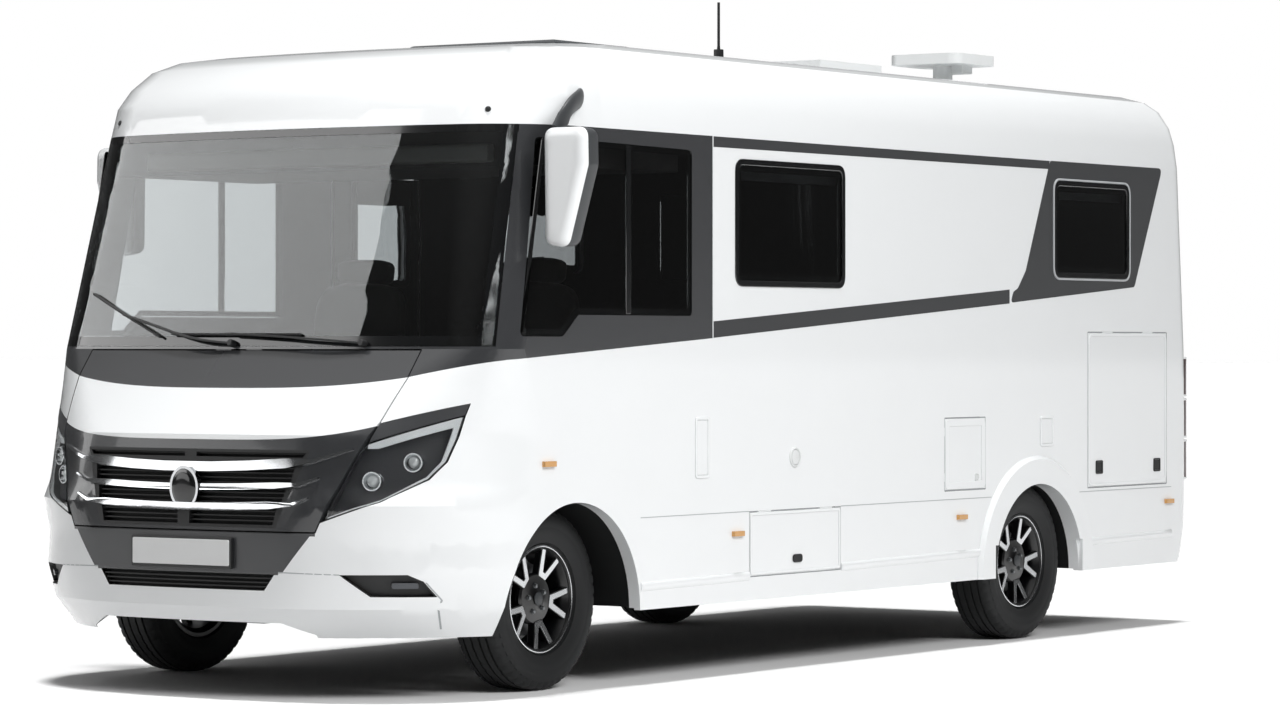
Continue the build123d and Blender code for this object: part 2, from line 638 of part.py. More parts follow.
WELL_TOP = 800.0
ROOM_W = HALF_W - WALL - SEAT_GAP
with BuildPart() as floor_panel:
    add(block((-ROOM_W, ROOM_W), (-1690, 3020), (FLOOR_Z, SKIRT_TOP_Z)))
    add(block((HALF_W - WALL - GAP, HALF_W), (LOCKER_HOLE[0][0], LOCKER_HOLE[1][0]),
              (FLOOR_Z, SKIRT_TOP_Z)), mode=Mode.SUBTRACT)
    for side in (1, -1):
        add(block(sorted((side * 830, side * ROOM_W)), (REAR_Y - 470, REAR_Y + 470),
                  (FLOOR_Z, WELL_TOP)))
    for side in (1, -1):
        add(block(sorted((side * 850, side * 1200)), (REAR_Y - 450, REAR_Y + 450),
                  (FLOOR_Z - 1, WELL_TOP - 20)), mode=Mode.SUBTRACT)
save(floor_panel, "floor_panel")

FIREWALL_W = 540.0
with BuildPart() as cab_floor:
    with BuildSketch(Plane.YZ.offset(-1000)):
        Polygon((-2620, 790), (-1690, 790), (-1690, SKIRT_TOP_Z), (-1600, SKIRT_TOP_Z),
                (-1600, 815), (-2620, 815), align=None)
    extrude(amount=2000)
    add(block((-FIREWALL_W, FIREWALL_W), (-2620, -2595), (480, 790)))
    with BuildSketch(Plane.YZ.offset(-1100)):
        Polygon((-2620, 815), (-2595, 815), (-2595, 1340), (-2620, 1340), align=None)
    extrude(amount=2200)
    add(inner_skin, mode=Mode.INTERSECT)
    add(chassis_frame.part, mode=Mode.SUBTRACT)
save(cab_floor, "cab_floor")

with BuildPart() as tanks:
    add(block((-380, 380), (-1200, -400), (520, FLOOR_Z)))
    add(block((-380, 380), (100, 700), (520, FLOOR_Z)))
save(tanks, "tanks")

with BuildPart() as exhaust:
    with Locations((-520, -900, 555)):
        Cylinder(75, 700, rotation=(90, 0, 0))
    add(rod([(-520, -1240, 555), (-520, -1500, 500), (-300, -1800, 385), (-300, -2799.7, 385)], 28))
    add(chassis_frame.part, mode=Mode.SUBTRACT)
save(exhaust, "exhaust")

# Cab fittings seen through the glass
WHEEL_C = Vector(450, -2190, 1266)
WHEEL_DIR = Vector(0, 0.75, 0.66).normalized()
COLUMN = 180.0
HUB_T = 30.0
with BuildPart() as dashboard:
    with BuildSketch(Plane.YZ.offset(-1020)):
        Polygon((-2594.7, 900), (-2420, 900), (-2250, 1180), (-2270, 1300), (-2594.7, 1345),
                align=None)
    extrude(amount=2040)
    with Locations(Plane(WHEEL_C - WHEEL_DIR * (COLUMN / 2 + HUB_T / 2 + SEAT_GAP), z_dir=WHEEL_DIR)):
        Cylinder(40, COLUMN)
save(dashboard, "dashboard")

with BuildPart() as seats:
    with BuildSketch(Plane.YZ.offset(220)):
        Polygon((-1900, 815.3), (-1500, 815.3), (-1480, 1150), (-1400, 1760), (-1520, 1780),
                (-1600, 1260), (-2010, 1280), (-2030, 1160), (-1900, 1120), align=None)
    extrude(amount=480)
    fillet(seats.edges().filter_by(Axis.X), radius=30)
    mirror(about=Plane.YZ)
save(seats, "seats")

WHEEL_R = 205.0
with BuildPart() as steering_wheel:
    with BuildSketch(Plane(WHEEL_C, x_dir=(1, 0, 0), z_dir=WHEEL_DIR.cross(Vector(1, 0, 0)))):
        with Locations((WHEEL_R, 0)):
            RegularPolygon(15, 8)
    revolve(axis=Axis(WHEEL_C, WHEEL_DIR))
    with Locations(Plane(WHEEL_C, z_dir=WHEEL_DIR)):
        Cylinder(50, HUB_T)
        Box(2 * WHEEL_R - 20, 34, 12)
save(steering_wheel, "steering_wheel")

with BuildPart() as drop_bed:
    add(block((-ROOM_W, ROOM_W), (-2350, -1400), (2130, 2290)))
    add(inner_skin, mode=Mode.INTERSECT)
save(drop_bed, "drop_bed")

# Steered front wheel carriers
for name, side in (("knuckle_left", 1), ("knuckle_right", -1)):
    with BuildPart() as knuckle:
        with Locations((side * KING_X, FRONT_Y, 517)):
            Cylinder(35, 534)
        with Locations((side * (KING_X + FRONT_X + 20) / 2, FRONT_Y, TYRE_R)):
            Cylinder(SPINDLE_R, FRONT_X + 20 - KING_X, rotation=(0, 90, 0))
        add(block(sorted((side * (KING_X - 25), side * (KING_X + 25))), (FRONT_Y, FRONT_Y + 180),
                  (300, 330)))
    save(knuckle, name)

# Wheels: one alloy rim and one tyre at each corner
RIM_HALF = 86.0
for name, x, y in (("front_left", FRONT_X, FRONT_Y), ("front_right", -FRONT_X, FRONT_Y),
                   ("rear_left", REAR_X, REAR_Y), ("rear_right", -REAR_X, REAR_Y)):
    side = 1 if x > 0 else -1
    seat = Plane(origin=(x, y, TYRE_R), x_dir=(0, 1, 0), z_dir=(side, 0, 0))
    upright = Plane(origin=(x, y, TYRE_R), x_dir=(side, 0, 0), z_dir=(0, -side, 0))
    spin = Axis((x, y, TYRE_R), (side, 0, 0))
    with BuildPart() as rim:
        with BuildSketch(upright):
            Polygon((-RIM_HALF, RIM_LIP_R), (-RIM_HALF, RIM_LIP_R - 20), (-60, RIM_R - 22),
                    (20, RIM_R - 22), (38, 60), (-20, 60), (-20, SPINDLE_R + SPINDLE_FIT),
                    (80, SPINDLE_R + SPINDLE_FIT), (62, 70), (56, RIM_R - 22),
                    (RIM_HALF, RIM_LIP_R - 14), (RIM_HALF, RIM_LIP_R),
                    (RIM_HALF - 6, RIM_LIP_R), (RIM_HALF - 6, RIM_R), (6 - RIM_HALF, RIM_R),
                    (6 - RIM_HALF, RIM_LIP_R), align=None)
        revolve(axis=spin)
        with BuildSketch(seat):
            with PolarLocations(0, 5):
                Polygon((82, 16), (166, 52), (172, 0), (166, -52), (82, -16), align=None)
            with PolarLocations(0, 5, start_angle=36):
                Polygon((96, 6), (168, 20), (168, -20), (96, -6), align=None)
        extrude(amount=90, mode=Mode.SUBTRACT)
    save(rim, f"wheel_{name}")
    with BuildPart() as tyre:
        half = TYRE_W / 2
        with BuildSketch(upright):
            Polygon((6 - RIM_HALF, RIM_R + SEAT_GAP), (6 - RIM_HALF, RIM_LIP_R + 4), (-half, 288),
                    (8 - half, 342), (36 - half, TYRE_R), (half - 36, TYRE_R), (half - 8, 342),
                    (half, 288), (RIM_HALF - 6, RIM_LIP_R + 4), (RIM_HALF - 6, RIM_R + SEAT_GAP),
                    align=None)
        revolve(axis=spin)
    save(tyre, f"tyre_{name}")
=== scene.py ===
"""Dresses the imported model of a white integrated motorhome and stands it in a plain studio.

Sizes are in millimetres and become metres where a mesh is made. Forward is -Y, the vehicle's left
is +X and up is +Z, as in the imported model.
"""

import logging
import math
from dataclasses import dataclass
from enum import Enum
from typing import Any, Callable, Iterable, Mapping, Sequence

import bmesh
import bpy
from mathutils import Matrix, Quaternion, Vector
from mathutils.bvhtree import BVHTree


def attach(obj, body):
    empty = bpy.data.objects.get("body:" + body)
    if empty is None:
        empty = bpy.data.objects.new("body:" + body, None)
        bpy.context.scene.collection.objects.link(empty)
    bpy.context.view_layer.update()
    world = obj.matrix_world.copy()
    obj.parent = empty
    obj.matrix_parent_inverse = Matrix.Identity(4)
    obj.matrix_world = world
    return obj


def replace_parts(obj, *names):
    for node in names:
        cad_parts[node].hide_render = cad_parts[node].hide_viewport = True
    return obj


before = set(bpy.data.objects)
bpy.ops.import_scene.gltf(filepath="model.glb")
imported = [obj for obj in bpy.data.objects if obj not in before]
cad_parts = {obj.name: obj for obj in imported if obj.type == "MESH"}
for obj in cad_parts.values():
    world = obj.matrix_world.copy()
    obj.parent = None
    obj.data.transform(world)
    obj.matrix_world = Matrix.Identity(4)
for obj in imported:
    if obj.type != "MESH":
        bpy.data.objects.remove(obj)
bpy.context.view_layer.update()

log = logging.getLogger("motorhome")

MM = 0.001
WALL_X = 1170.0
Point2 = tuple[float, float]
Point3 = tuple[float, float, float]
Box = tuple[float, float, float, float]
Outline = list[Point2]
Section = Sequence[Point2]


class Side(Enum):
    """The two sides of the vehicle, by the sign of X."""

    LEFT = 1
    RIGHT = -1


class Facing(Enum):
    """The axis that a flat outline is pushed out along."""

    X = 0
    Y = 1
    Z = 2


def linear(colour: str) -> tuple[float, float, float, float]:
    """Turns an sRGB hex colour into linear light.

    Args:
        colour: six hex digits after a hash.

    Returns:
        Red, green, blue and an alpha of one.
    """
    parts = (int(colour[i:i + 2], 16) / 255 for i in (1, 3, 5))
    rgb = [c / 12.92 if c <= 0.04045 else ((c + 0.055) / 1.055) ** 2.4 for c in parts]
    return rgb[0], rgb[1], rgb[2], 1.0


def add_node(tree: bpy.types.NodeTree, kind: str, settings: Mapping[Any, Any] | None = None,
             links: Mapping[Any, bpy.types.NodeSocket] | None = None) -> bpy.types.Node:
    """Adds one shader node.

    Args:
        tree: the node tree it goes into.
        kind: the node's type name.
        settings: values by property name, input name or input number.
        links: output sockets by input name or number.

    Returns:
        The new node.
    """
    node = tree.nodes.new(kind)
    for key, value in (settings or {}).items():
        if isinstance(key, str) and key in node.bl_rna.properties:
            setattr(node, key, value)
        else:
            node.inputs[key].default_value = value
    for key, socket in (links or {}).items():
        tree.links.new(socket, node.inputs[key])
    return node


@dataclass(frozen=True)
class Finish:
    """One material, from what it is made of and how its surface was made.

    grain is the size of the surface's bumps and mottle that of its slow colour change, both in
    millimetres. Depth is the height of the bumps and shift how far the colour moves. Shade is the
    share of scattered light for which a clear pane turns black, a painted shade on the cabin behind it.
    """

    name: str
    colour: str
    roughness: float
    metallic: float = 0.0
    ior: float = 1.5
    coat: float = 0.0
    coat_roughness: float = 0.04
    see_through: float = 0.0
    glow: float = 0.0
    sheen: float = 0.0
    grain: float = 6.0
    depth: float = 0.05
    mottle: float = 260.0
    shift: float = 0.06
    shade: float = 0.85

    # Painted shade: the black that a pane shows to scattered light, so the cabin behind it stays dark.
    PAINTED_CABIN_SHADE = (0.01, 0.01, 0.01, 1.0)

    def material(self) -> bpy.types.Material:
        """Makes the material the first time and hands back the same one after that."""
        found = bpy.data.materials.get(self.name)
        if found:
            return found
        made = bpy.data.materials.new(self.name)
        made.use_nodes = True
        tree = made.node_tree
        tree.nodes.clear()
        place = add_node(tree, "ShaderNodeTexCoord").outputs["Object"]
        shader = self.shader(tree, place)
        add_node(tree, "ShaderNodeOutputMaterial", links={"Surface": shader})
        return made

    def tint(self, tree: bpy.types.NodeTree, place: bpy.types.NodeSocket) -> bpy.types.NodeSocket:
        """Colour of the surface with its slow mottle.

        Args:
            tree: the material's node tree.
            place: the surface's own coordinates.

        Returns:
            The colour socket.
        """
        base = linear(self.colour)
        dark = tuple(c * (1 - self.shift) for c in base[:3]) + (1.0,)
        cloud = add_node(tree, "ShaderNodeTexNoise", {"Scale": 1 / (self.mottle * MM), "Detail": 3.0},
                         {"Vector": place})
        ramp = add_node(tree, "ShaderNodeMix", {"data_type": "RGBA", 6: base, 7: dark},
                        {0: cloud.outputs["Fac"]})
        return ramp.outputs[2]

    def relief(self, tree: bpy.types.NodeTree, place: bpy.types.NodeSocket) -> bpy.types.NodeSocket:
        """Bumped normal from the surface's grain.

        Args:
            tree: the material's node tree.
            place: the surface's own coordinates.

        Returns:
            The normal socket.
        """
        grain = add_node(tree, "ShaderNodeTexNoise", {"Scale": 1 / (self.grain * MM), "Detail": 2.0},
                         {"Vector": place})
        bump = add_node(tree, "ShaderNodeBump", {"Strength": 1.0, "Distance": self.depth * MM},
                        {"Height": grain.outputs["Fac"]})
        return bump.outputs["Normal"]

    def shader(self, tree: bpy.types.NodeTree, place: bpy.types.NodeSocket) -> bpy.types.NodeSocket:
        """Builds the surface's shader.

        Args:
            tree: the material's node tree.
            place: the surface's own coordinates.

        Returns:
            The shader socket.
        """
        settings = {"Roughness": self.roughness, "Metallic": self.metallic, "IOR": self.ior,
                    "Coat Weight": self.coat, "Coat Roughness": self.coat_roughness,
                    "Transmission Weight": self.see_through, "Sheen Weight": self.sheen}
        if self.glow:
            settings["Emission Strength"] = self.glow
            settings["Emission Color"] = linear(self.colour)
        node = add_node(tree, "ShaderNodeBsdfPrincipled", settings,
                        {"Base Color": self.tint(tree, place), "Normal": self.relief(tree, place)})
        if not self.see_through:
            return node.outputs["BSDF"]
        # Painted shade: for scattered light each pane turns partly black, so the cabin behind it stays
        # dark.
        scattered = add_node(tree, "ShaderNodeMath", {"operation": "MULTIPLY", 1: self.shade},
                             {0: add_node(tree, "ShaderNodeLightPath").outputs["Is Diffuse Ray"]})
        dark = add_node(tree, "ShaderNodeBsdfDiffuse", {"Color": self.PAINTED_CABIN_SHADE})
        return add_node(tree, "ShaderNodeMixShader", links={
            0: scattered.outputs[0], 1: node.outputs["BSDF"], 2: dark.outputs[0]}).outputs[0]


@dataclass(frozen=True)
class BodyPaint(Finish):
    """Gelcoat that turns graphite above and below painted lines, with painted shade on its faces inside the
    body.
    """

    # Belt and mouth are painted areas whose edges rise along the nose, and bands are painted strips.
    graphite: str = "#363739"
    # painted shade: colour of every face that looks into the body
    inside_shade: str = "#24211f"
    belt: bool = False
    mouth: bool = False
    bands: tuple[Point3, ...] = ()
    centre_z: float = 1300.0
    reach: Point2 = (-1900.0, 2900.0)
    inner_edge: float = -0.02

    # lower edge of the belt and upper edge of the mouth: start height, then the ends and rise of its runs
    BELT = (1.233, (0.0, 0.636, 0.045), (0.860, 1.150, 0.068), (-2.640, -1.175, 0.089))
    MOUTH = (1.030, (0.0, 0.452, 0.060))

    def tint(self, tree: bpy.types.NodeTree, place: bpy.types.NodeSocket) -> bpy.types.NodeSocket:
        """White with graphite areas by height across the nose, and painted shade on inner faces.

        Args:
            tree: the material's node tree.
            place: the surface's own coordinates.

        Returns:
            The colour socket.
        """
        colour = super().tint(tree, place)
        split = add_node(tree, "ShaderNodeSeparateXYZ", links={0: place})
        across = add_node(tree, "ShaderNodeMath", {"operation": "ABSOLUTE"},
                          {0: split.outputs[0]}).outputs[0]
        if self.belt:
            # The painted belt climbs in three straight runs: nose, corner and cab side.
            bow = add_node(tree, "ShaderNodeMath", {"operation": "POWER", 1: 3.0}, {0: across}).outputs[0]
            start, nose, corner, cab = self.BELT
            line = self.climb(tree, start, ((bow, *nose), (across, *corner), (split.outputs[1], *cab)))
            colour = self.painted(tree, colour, (split.outputs[2], "GREATER_THAN", line))
        if self.mouth:
            bow = add_node(tree, "ShaderNodeMath", {"operation": "POWER", 1: 4.0}, {0: across}).outputs[0]
            start, nose = self.MOUTH
            line = self.climb(tree, start, ((bow, *nose),))
            colour = self.painted(tree, colour, (split.outputs[2], "LESS_THAN", line))
        for half, low, high in self.bands:
            colour = self.painted(tree, colour, (across, "LESS_THAN", half),
                                  (split.outputs[2], "GREATER_THAN", low),
                                  (split.outputs[2], "LESS_THAN", high))
        return self.paint_inside_shade(tree, place, split, colour)

    def painted(self, tree: bpy.types.NodeTree, colour: bpy.types.NodeSocket,
                *limits: tuple[bpy.types.NodeSocket, str, Any]) -> bpy.types.NodeSocket:
        """Turns the colour graphite where every limit holds.

        Args:
            tree: the material's node tree.
            colour: the colour outside the limits.
            limits: a coordinate, how it compares, and a number or a socket that it is compared with.

        Returns:
            The colour socket.
        """
        inside = None
        for value, operation, edge in limits:
            number, socket = ({1: edge}, {}) if isinstance(edge, float) else ({}, {1: edge})
            test = add_node(tree, "ShaderNodeMath", {"operation": operation, **number},
                            {0: value, **socket}).outputs[0]
            if inside:
                test = add_node(tree, "ShaderNodeMath", {"operation": "MULTIPLY"},
                                {0: inside, 1: test}).outputs[0]
            inside = test
        return add_node(tree, "ShaderNodeMix", {"data_type": "RGBA", 7: linear(self.graphite)},
                        {0: inside, 6: colour}).outputs[2]

    def climb(self, tree: bpy.types.NodeTree, start: float,
              runs: Iterable[tuple[bpy.types.NodeSocket, float, float, float]]) -> bpy.types.NodeSocket:
        """Height of a painted line that rises in straight runs.

        Args:
            tree: the material's node tree.
            start: height of the line before the first run, in metres.
            runs: coordinate, where the run starts and ends, and its rise, in metres.

        Returns:
            The height socket.
        """
        height = None
        for along, begin, end, rise in runs:
            step = add_node(tree, "ShaderNodeMapRange",
                            {"From Min": begin, "From Max": end, "To Min": 0.0, "To Max": rise},
                            {"Value": along})
            total = add_node(tree, "ShaderNodeMath", {"operation": "ADD", 1: start},
                             {0: step.outputs[0]})
            if height:
                tree.links.new(height, total.inputs[1])
            height = total.outputs[0]
        return height

    def paint_inside_shade(self, tree: bpy.types.NodeTree, place: bpy.types.NodeSocket,
              split: bpy.types.Node, colour: bpy.types.NodeSocket) -> bpy.types.NodeSocket:
        """Painted shade: a dark colour on every face that looks into the body, for the unlit interior.

        Args:
            tree: the material's node tree.
            place: the surface's own coordinates.
            split: those coordinates one by one.
            colour: the outer colour.

        Returns:
            The colour socket.
        """
        low, high = (edge * MM for edge in self.reach)
        spine = add_node(tree, "ShaderNodeClamp", {"Min": low, "Max": high}, {0: split.outputs[1]})
        core = add_node(tree, "ShaderNodeCombineXYZ", {2: self.centre_z * MM}, {1: spine.outputs[0]})
        arm = add_node(tree, "ShaderNodeVectorMath", {"operation": "SUBTRACT"},
                       {0: place, 1: core.outputs[0]})
        normal = add_node(tree, "ShaderNodeTexCoord").outputs["Normal"]
        facing = add_node(tree, "ShaderNodeVectorMath", {"operation": "DOT_PRODUCT"},
                          {0: arm.outputs[0], 1: normal})
        inward = add_node(tree, "ShaderNodeMath", {"operation": "LESS_THAN", 1: self.inner_edge},
                          {0: facing.outputs["Value"]})
        return add_node(tree, "ShaderNodeMix", {"data_type": "RGBA", 7: linear(self.inside_shade)},
                        {0: inward.outputs[0], 6: colour}).outputs[2]


@dataclass(frozen=True)
class LampPaint(Finish):
    """Moulded lens that is amber along the sides and dark red at the tail."""

    amber: str = "#cf9a58"
    tail_y: float = 3060.0

    def tint(self, tree: bpy.types.NodeTree, place: bpy.types.NodeSocket) -> bpy.types.NodeSocket:
        """Amber ahead of the tail and the lens colour behind it.

        Args:
            tree: the material's node tree.
            place: the surface's own coordinates.

        Returns:
            The colour socket.
        """
        colour = super().tint(tree, place)
        split = add_node(tree, "ShaderNodeSeparateXYZ", links={0: place})
        ahead = add_node(tree, "ShaderNodeMath", {"operation": "LESS_THAN", 1: self.tail_y * MM},
                         {0: split.outputs[1]})
        return add_node(tree, "ShaderNodeMix", {"data_type": "RGBA", 7: linear(self.amber)},
                        {0: ahead.outputs[0], 6: colour}).outputs[2]


@dataclass(frozen=True)
class FloorPaint(Finish):
    """Matt studio floor: pale to the eye, greyer for the light that it throws back."""

    bounce: str = "#b6b6b6"

    def tint(self, tree: bpy.types.NodeTree, place: bpy.types.NodeSocket) -> bpy.types.NodeSocket:
        """Floor colour, swapped for the bounce colour once light has scattered.

        Args:
            tree: the material's node tree.
            place: the surface's own coordinates.

        Returns:
            The colour socket.
        """
        colour = super().tint(tree, place)
        seen = add_node(tree, "ShaderNodeMath", {"operation": "MINIMUM", 1: 1.0},
                        {0: add_node(tree, "ShaderNodeLightPath").outputs["Diffuse Depth"]})
        return add_node(tree, "ShaderNodeMix", {"data_type": "RGBA", 7: linear(self.bounce)},
                        {0: seen.outputs[0], 6: colour}).outputs[2]


# Gelcoat is sprayed into a polished mould, so it is glassy with a very long, faint orange peel.
GELCOAT = BodyPaint("gelcoat_white", "#f1f3f4", 0.22, coat=0.6, grain=38.0, depth=0.02, shift=0.015)
GELCOAT_PLAIN = Finish("gelcoat_trim", "#f1f3f4", 0.24, coat=0.5, grain=38.0, depth=0.02, shift=0.015)
GELCOAT_NOSE = BodyPaint("gelcoat_nose", "#f1f3f4", 0.22, coat=0.6, grain=38.0, depth=0.02, shift=0.015,
                         belt=True, bands=((0.628, 0.655, 0.680), (0.470, 0.500, 0.511)))
GELCOAT_LID = BodyPaint("gelcoat_lid", "#f1f3f4", 0.22, coat=0.6, grain=38.0, depth=0.02, shift=0.015,
                        belt=True, mouth=True)
# Painted moulding: satin graphite lacquer over smooth plastic.
GRAPHITE = Finish("lacquer_graphite", "#3a3b3d", 0.36, coat=0.25, coat_roughness=0.2, grain=30.0,
                  depth=0.02, shift=0.05)
# Cast foil laid on the gelcoat, a little duller than the lacquer.
FOIL = Finish("foil_graphite", "#2f3032", 0.42, grain=20.0, depth=0.02, shift=0.05)
# Injection-moulded, spark-eroded grain, so it scatters light and never shines.
BLACK_PLASTIC = Finish("abs_black_grained", "#121314", 0.58, grain=1.6, depth=0.12, shift=0.12)
GREY_PLASTIC = Finish("abs_grey_moulded", "#3b3d3f", 0.5, grain=1.6, depth=0.1, shift=0.1)
WHITE_PLASTIC = Finish("abs_white_moulded", "#e3e5e5", 0.4, grain=2.0, depth=0.06, shift=0.04)
GLOSS_BLACK = Finish("abs_black_gloss", "#0c0d0e", 0.12, coat=0.5, grain=60.0, depth=0.02)
RUBBER_SEAL = Finish("epdm_extruded", "#121313", 0.62, grain=3.0, depth=0.08, shift=0.15)
# Chromed plastic keeps the mould's slight waviness.
CHROME = Finish("chrome_plated", "#dcdee0", 0.07, metallic=1.0, grain=45.0, depth=0.03, shift=0.03)
# Hot-dip zinc sets in spangles, and the e-coat and sand-cast skins are rougher and darker.
STEEL_GALV = Finish("steel_galvanised", "#85888a", 0.48, metallic=0.9, grain=14.0, depth=0.1, mottle=22.0,
                    shift=0.3)
STEEL_BLACK = Finish("steel_e_coated", "#17181a", 0.45, grain=5.0, depth=0.1, shift=0.2)
CAST_IRON = Finish("iron_sand_cast", "#3a3835", 0.7, metallic=0.6, grain=2.5, depth=0.4, shift=0.25)
# Tinted cast acrylic of the living-area windows.
ACRYLIC = Finish("acrylic_tinted", "#b9bcbd", 0.01, ior=1.45, see_through=1.0, grain=400.0, depth=0.0,
                 shift=0.0)
# Float glass and moulded covers are smooth to the eye.
SCREEN_GLASS = Finish("glass_laminated", "#dde2e3", 0.0, ior=1.5, see_through=1.0, grain=400.0, depth=0.0,
                      shift=0.0)
CLEAR_COVER = Finish("polycarbonate_clear", "#f4f5f5", 0.0, ior=1.45, see_through=1.0, grain=400.0,
                     depth=0.0, shift=0.0, shade=0.0)
# Moulded lamp parts: optics on the lens's inside, vapour-coated or satin bowls.
TAIL_LENS = LampPaint("pmma_lens", "#2c0d0c", 0.14, coat=0.3, grain=4.0, depth=0.15)
LIGHT_GUIDE = Finish("light_guide", "#d9dcde", 0.4, glow=0.2, grain=4.0, depth=0.05, shift=0.0)
LAMP_BOWL = Finish("lamp_bowl_satin", "#3e3f43", 0.4, grain=8.0, depth=0.03, shift=0.1)
MIRROR_GLASS = Finish("glass_silvered", "#c9cdd0", 0.02, metallic=1.0, grain=500.0, depth=0.0, shift=0.0)
# Painted cast alloy whose face is then turned on a lathe, which leaves very fine rings.
ALLOY_BLACK = Finish("alloy_black_gloss", "#060607", 0.3, coat=0.15, grain=20.0, depth=0.03)
ALLOY_CUT = Finish("alloy_diamond_cut", "#c3c5c7", 0.22, metallic=1.0, grain=1.2, depth=0.02, shift=0.08)
# Rubber takes the dull skin of its mould, and discs the marks of turning.
TYRE_RUBBER = Finish("rubber_vulcanised", "#151617", 0.72, grain=4.0, depth=0.15, mottle=60.0, shift=0.2)
BRAKE_STEEL = Finish("steel_turned", "#77797a", 0.35, metallic=1.0, grain=2.0, depth=0.08)
# Pressed glass, satin caps, anodised frames and small mouldings.
LENS_GLASS = Finish("lens_glass", "#dfe3e4", 0.03, metallic=0.2, coat=1.0, grain=6.0, depth=0.05)
CAP_GREY = Finish("cap_satin_grey", "#4b4d50", 0.35, metallic=0.6, grain=8.0, depth=0.02)
FRAME_GREY = Finish("frame_grey_extruded", "#b4b7b9", 0.4, grain=8.0, depth=0.03)
BLIND_GREY = Finish("blind_case_moulded", "#a7a6a2", 0.6, grain=2.0, depth=0.05)
SEAM_GREY = Finish("sealant_grey", "#a9adaf", 0.55, grain=3.0, depth=0.05)
FOIL_WHITE = Finish("foil_white_line", "#e6e8e9", 0.4, grain=20.0, depth=0.02)
DOME_SMOKE = Finish("acrylic_smoke_dome", "#3a3d40", 0.12, coat=0.5, grain=40.0, depth=0.03)
GRILLE_BLACK = Finish("abs_black_deep", "#08090a", 0.7, grain=1.6, depth=0.08, shift=0.1)
# Flat-woven seat cloth, wrapped foam trim, sealed board, painted screed and enamelled sheet.
WOVEN = Finish("polyester_woven", "#2f2c29", 0.88, sheen=0.4, grain=1.4, depth=0.35, mottle=30.0, shift=0.2)
TRIM_SOFT = Finish("foam_wrapped_dark", "#23211f", 0.8, grain=2.0, depth=0.2, shift=0.15)
BOARD_DARK = Finish("board_sealed", "#2a2a29", 0.75, grain=5.0, depth=0.15, shift=0.2)
SCREED = FloorPaint("floor_painted_screed", "#fafafa", 0.8, grain=90.0, depth=0.0, shift=0.01)
ENAMEL_WHITE = Finish("plate_enamel", "#e9eaea", 0.3, grain=12.0, depth=0.02, shift=0.03)


def rounded(points: Section, radius: float, steps: int = 6) -> Outline:
    """Rounds every corner of a closed outline.

    Args:
        points: the corners in order.
        radius: corner radius in millimetres.
        steps: straight pieces in each corner.

    Returns:
        The rounded outline.
    """
    made: Outline = []
    count = len(points)
    for i, corner in enumerate(points):
        here = Vector(corner)
        back = (Vector(points[i - 1]) - here)
        ahead = (Vector(points[(i + 1) % count]) - here)
        a, b = back.normalized(), ahead.normalized()
        half = a.angle(b) / 2
        reach = min(radius / math.tan(half), back.length * 0.49, ahead.length * 0.49)
        start, end = here + a * reach, here + b * reach
        for k in range(steps + 1):
            t = k / steps
            spot = start * (1 - t) ** 2 + here * 2 * t * (1 - t) + end * t**2
            made.append((spot.x, spot.y))
    return made


def inset(points: Section, amount: float) -> Outline:
    """Moves the sides of a closed outline inwards.

    Args:
        points: the corners, counter-clockwise.
        amount: distance in millimetres, outwards if negative.

    Returns:
        The corners of the smaller outline.
    """
    made: Outline = []
    count = len(points)
    for i, corner in enumerate(points):
        here = Vector(corner)
        a = (here - Vector(points[i - 1])).normalized()
        b = (Vector(points[(i + 1) % count]) - here).normalized()
        left_a, left_b = Vector((-a.y, a.x)), Vector((-b.y, b.x))
        bisector = (left_a + left_b).normalized()
        spot = here + bisector * (amount / max(bisector.dot(left_a), 0.2))
        made.append((spot.x, spot.y))
    return made


def rect(low_a: float, high_a: float, low_b: float, high_b: float) -> Outline:
    """Corners of a rectangle, counter-clockwise."""
    return [(low_a, low_b), (high_a, low_b), (high_a, high_b), (low_a, high_b)]


def shrunk(box: Box, amount: float) -> Box:
    """Edges of a rectangle moved inwards, or outwards if the amount is negative."""
    return box[0] + amount, box[1] - amount, box[2] + amount, box[3] - amount


def oval(wide: float, high: float, steps: int, middle: Point2 = (0.0, 0.0)) -> Outline:
    """Points round an ellipse.

    Args:
        wide: half its width.
        high: half its height.
        steps: number of points.
        middle: its middle.

    Returns:
        The points, counter-clockwise.
    """
    turns = (2 * math.pi * k / steps for k in range(steps))
    return [(middle[0] + wide * math.cos(t), middle[1] + high * math.sin(t)) for t in turns]


def off_wall(side: Side, low: float, high: float) -> Point2:
    """Two heights over a side wall's outer face as levels along X, the lower level first."""
    a, b = sorted(side.value * (WALL_X + height) for height in (low, high))
    return a, b


def placed(facing: Facing, point: Point2, level: float) -> Vector:
    """Pushes a flat point to a level along the facing axis.

    Args:
        facing: the axis across the flat outline.
        point: the flat point in millimetres.
        level: its place on that axis.

    Returns:
        The point in metres.
    """
    a, b = point
    spot = {Facing.X: (level, a, b), Facing.Y: (a, level, b), Facing.Z: (a, b, level)}[facing]
    return Vector(spot) * MM


def stitch(mesh: bmesh.types.BMesh, here: Sequence[bmesh.types.BMVert],
           there: Sequence[bmesh.types.BMVert]) -> None:
    """Joins two closed loops that have the same number of points with a band of faces.

    Args:
        mesh: the mesh that they are in.
        here: points of the first loop.
        there: points of the second loop.
    """
    for i in range(len(here)):
        j = (i + 1) % len(here)
        mesh.faces.new((here[i], here[j], there[j], there[i]))


def stitch_round(mesh: bmesh.types.BMesh, loops: Sequence[Sequence[bmesh.types.BMVert]]) -> None:
    """Joins closed loops one to the next, and the last to the first."""
    for k in range(len(loops)):
        stitch(mesh, loops[k], loops[(k + 1) % len(loops)])


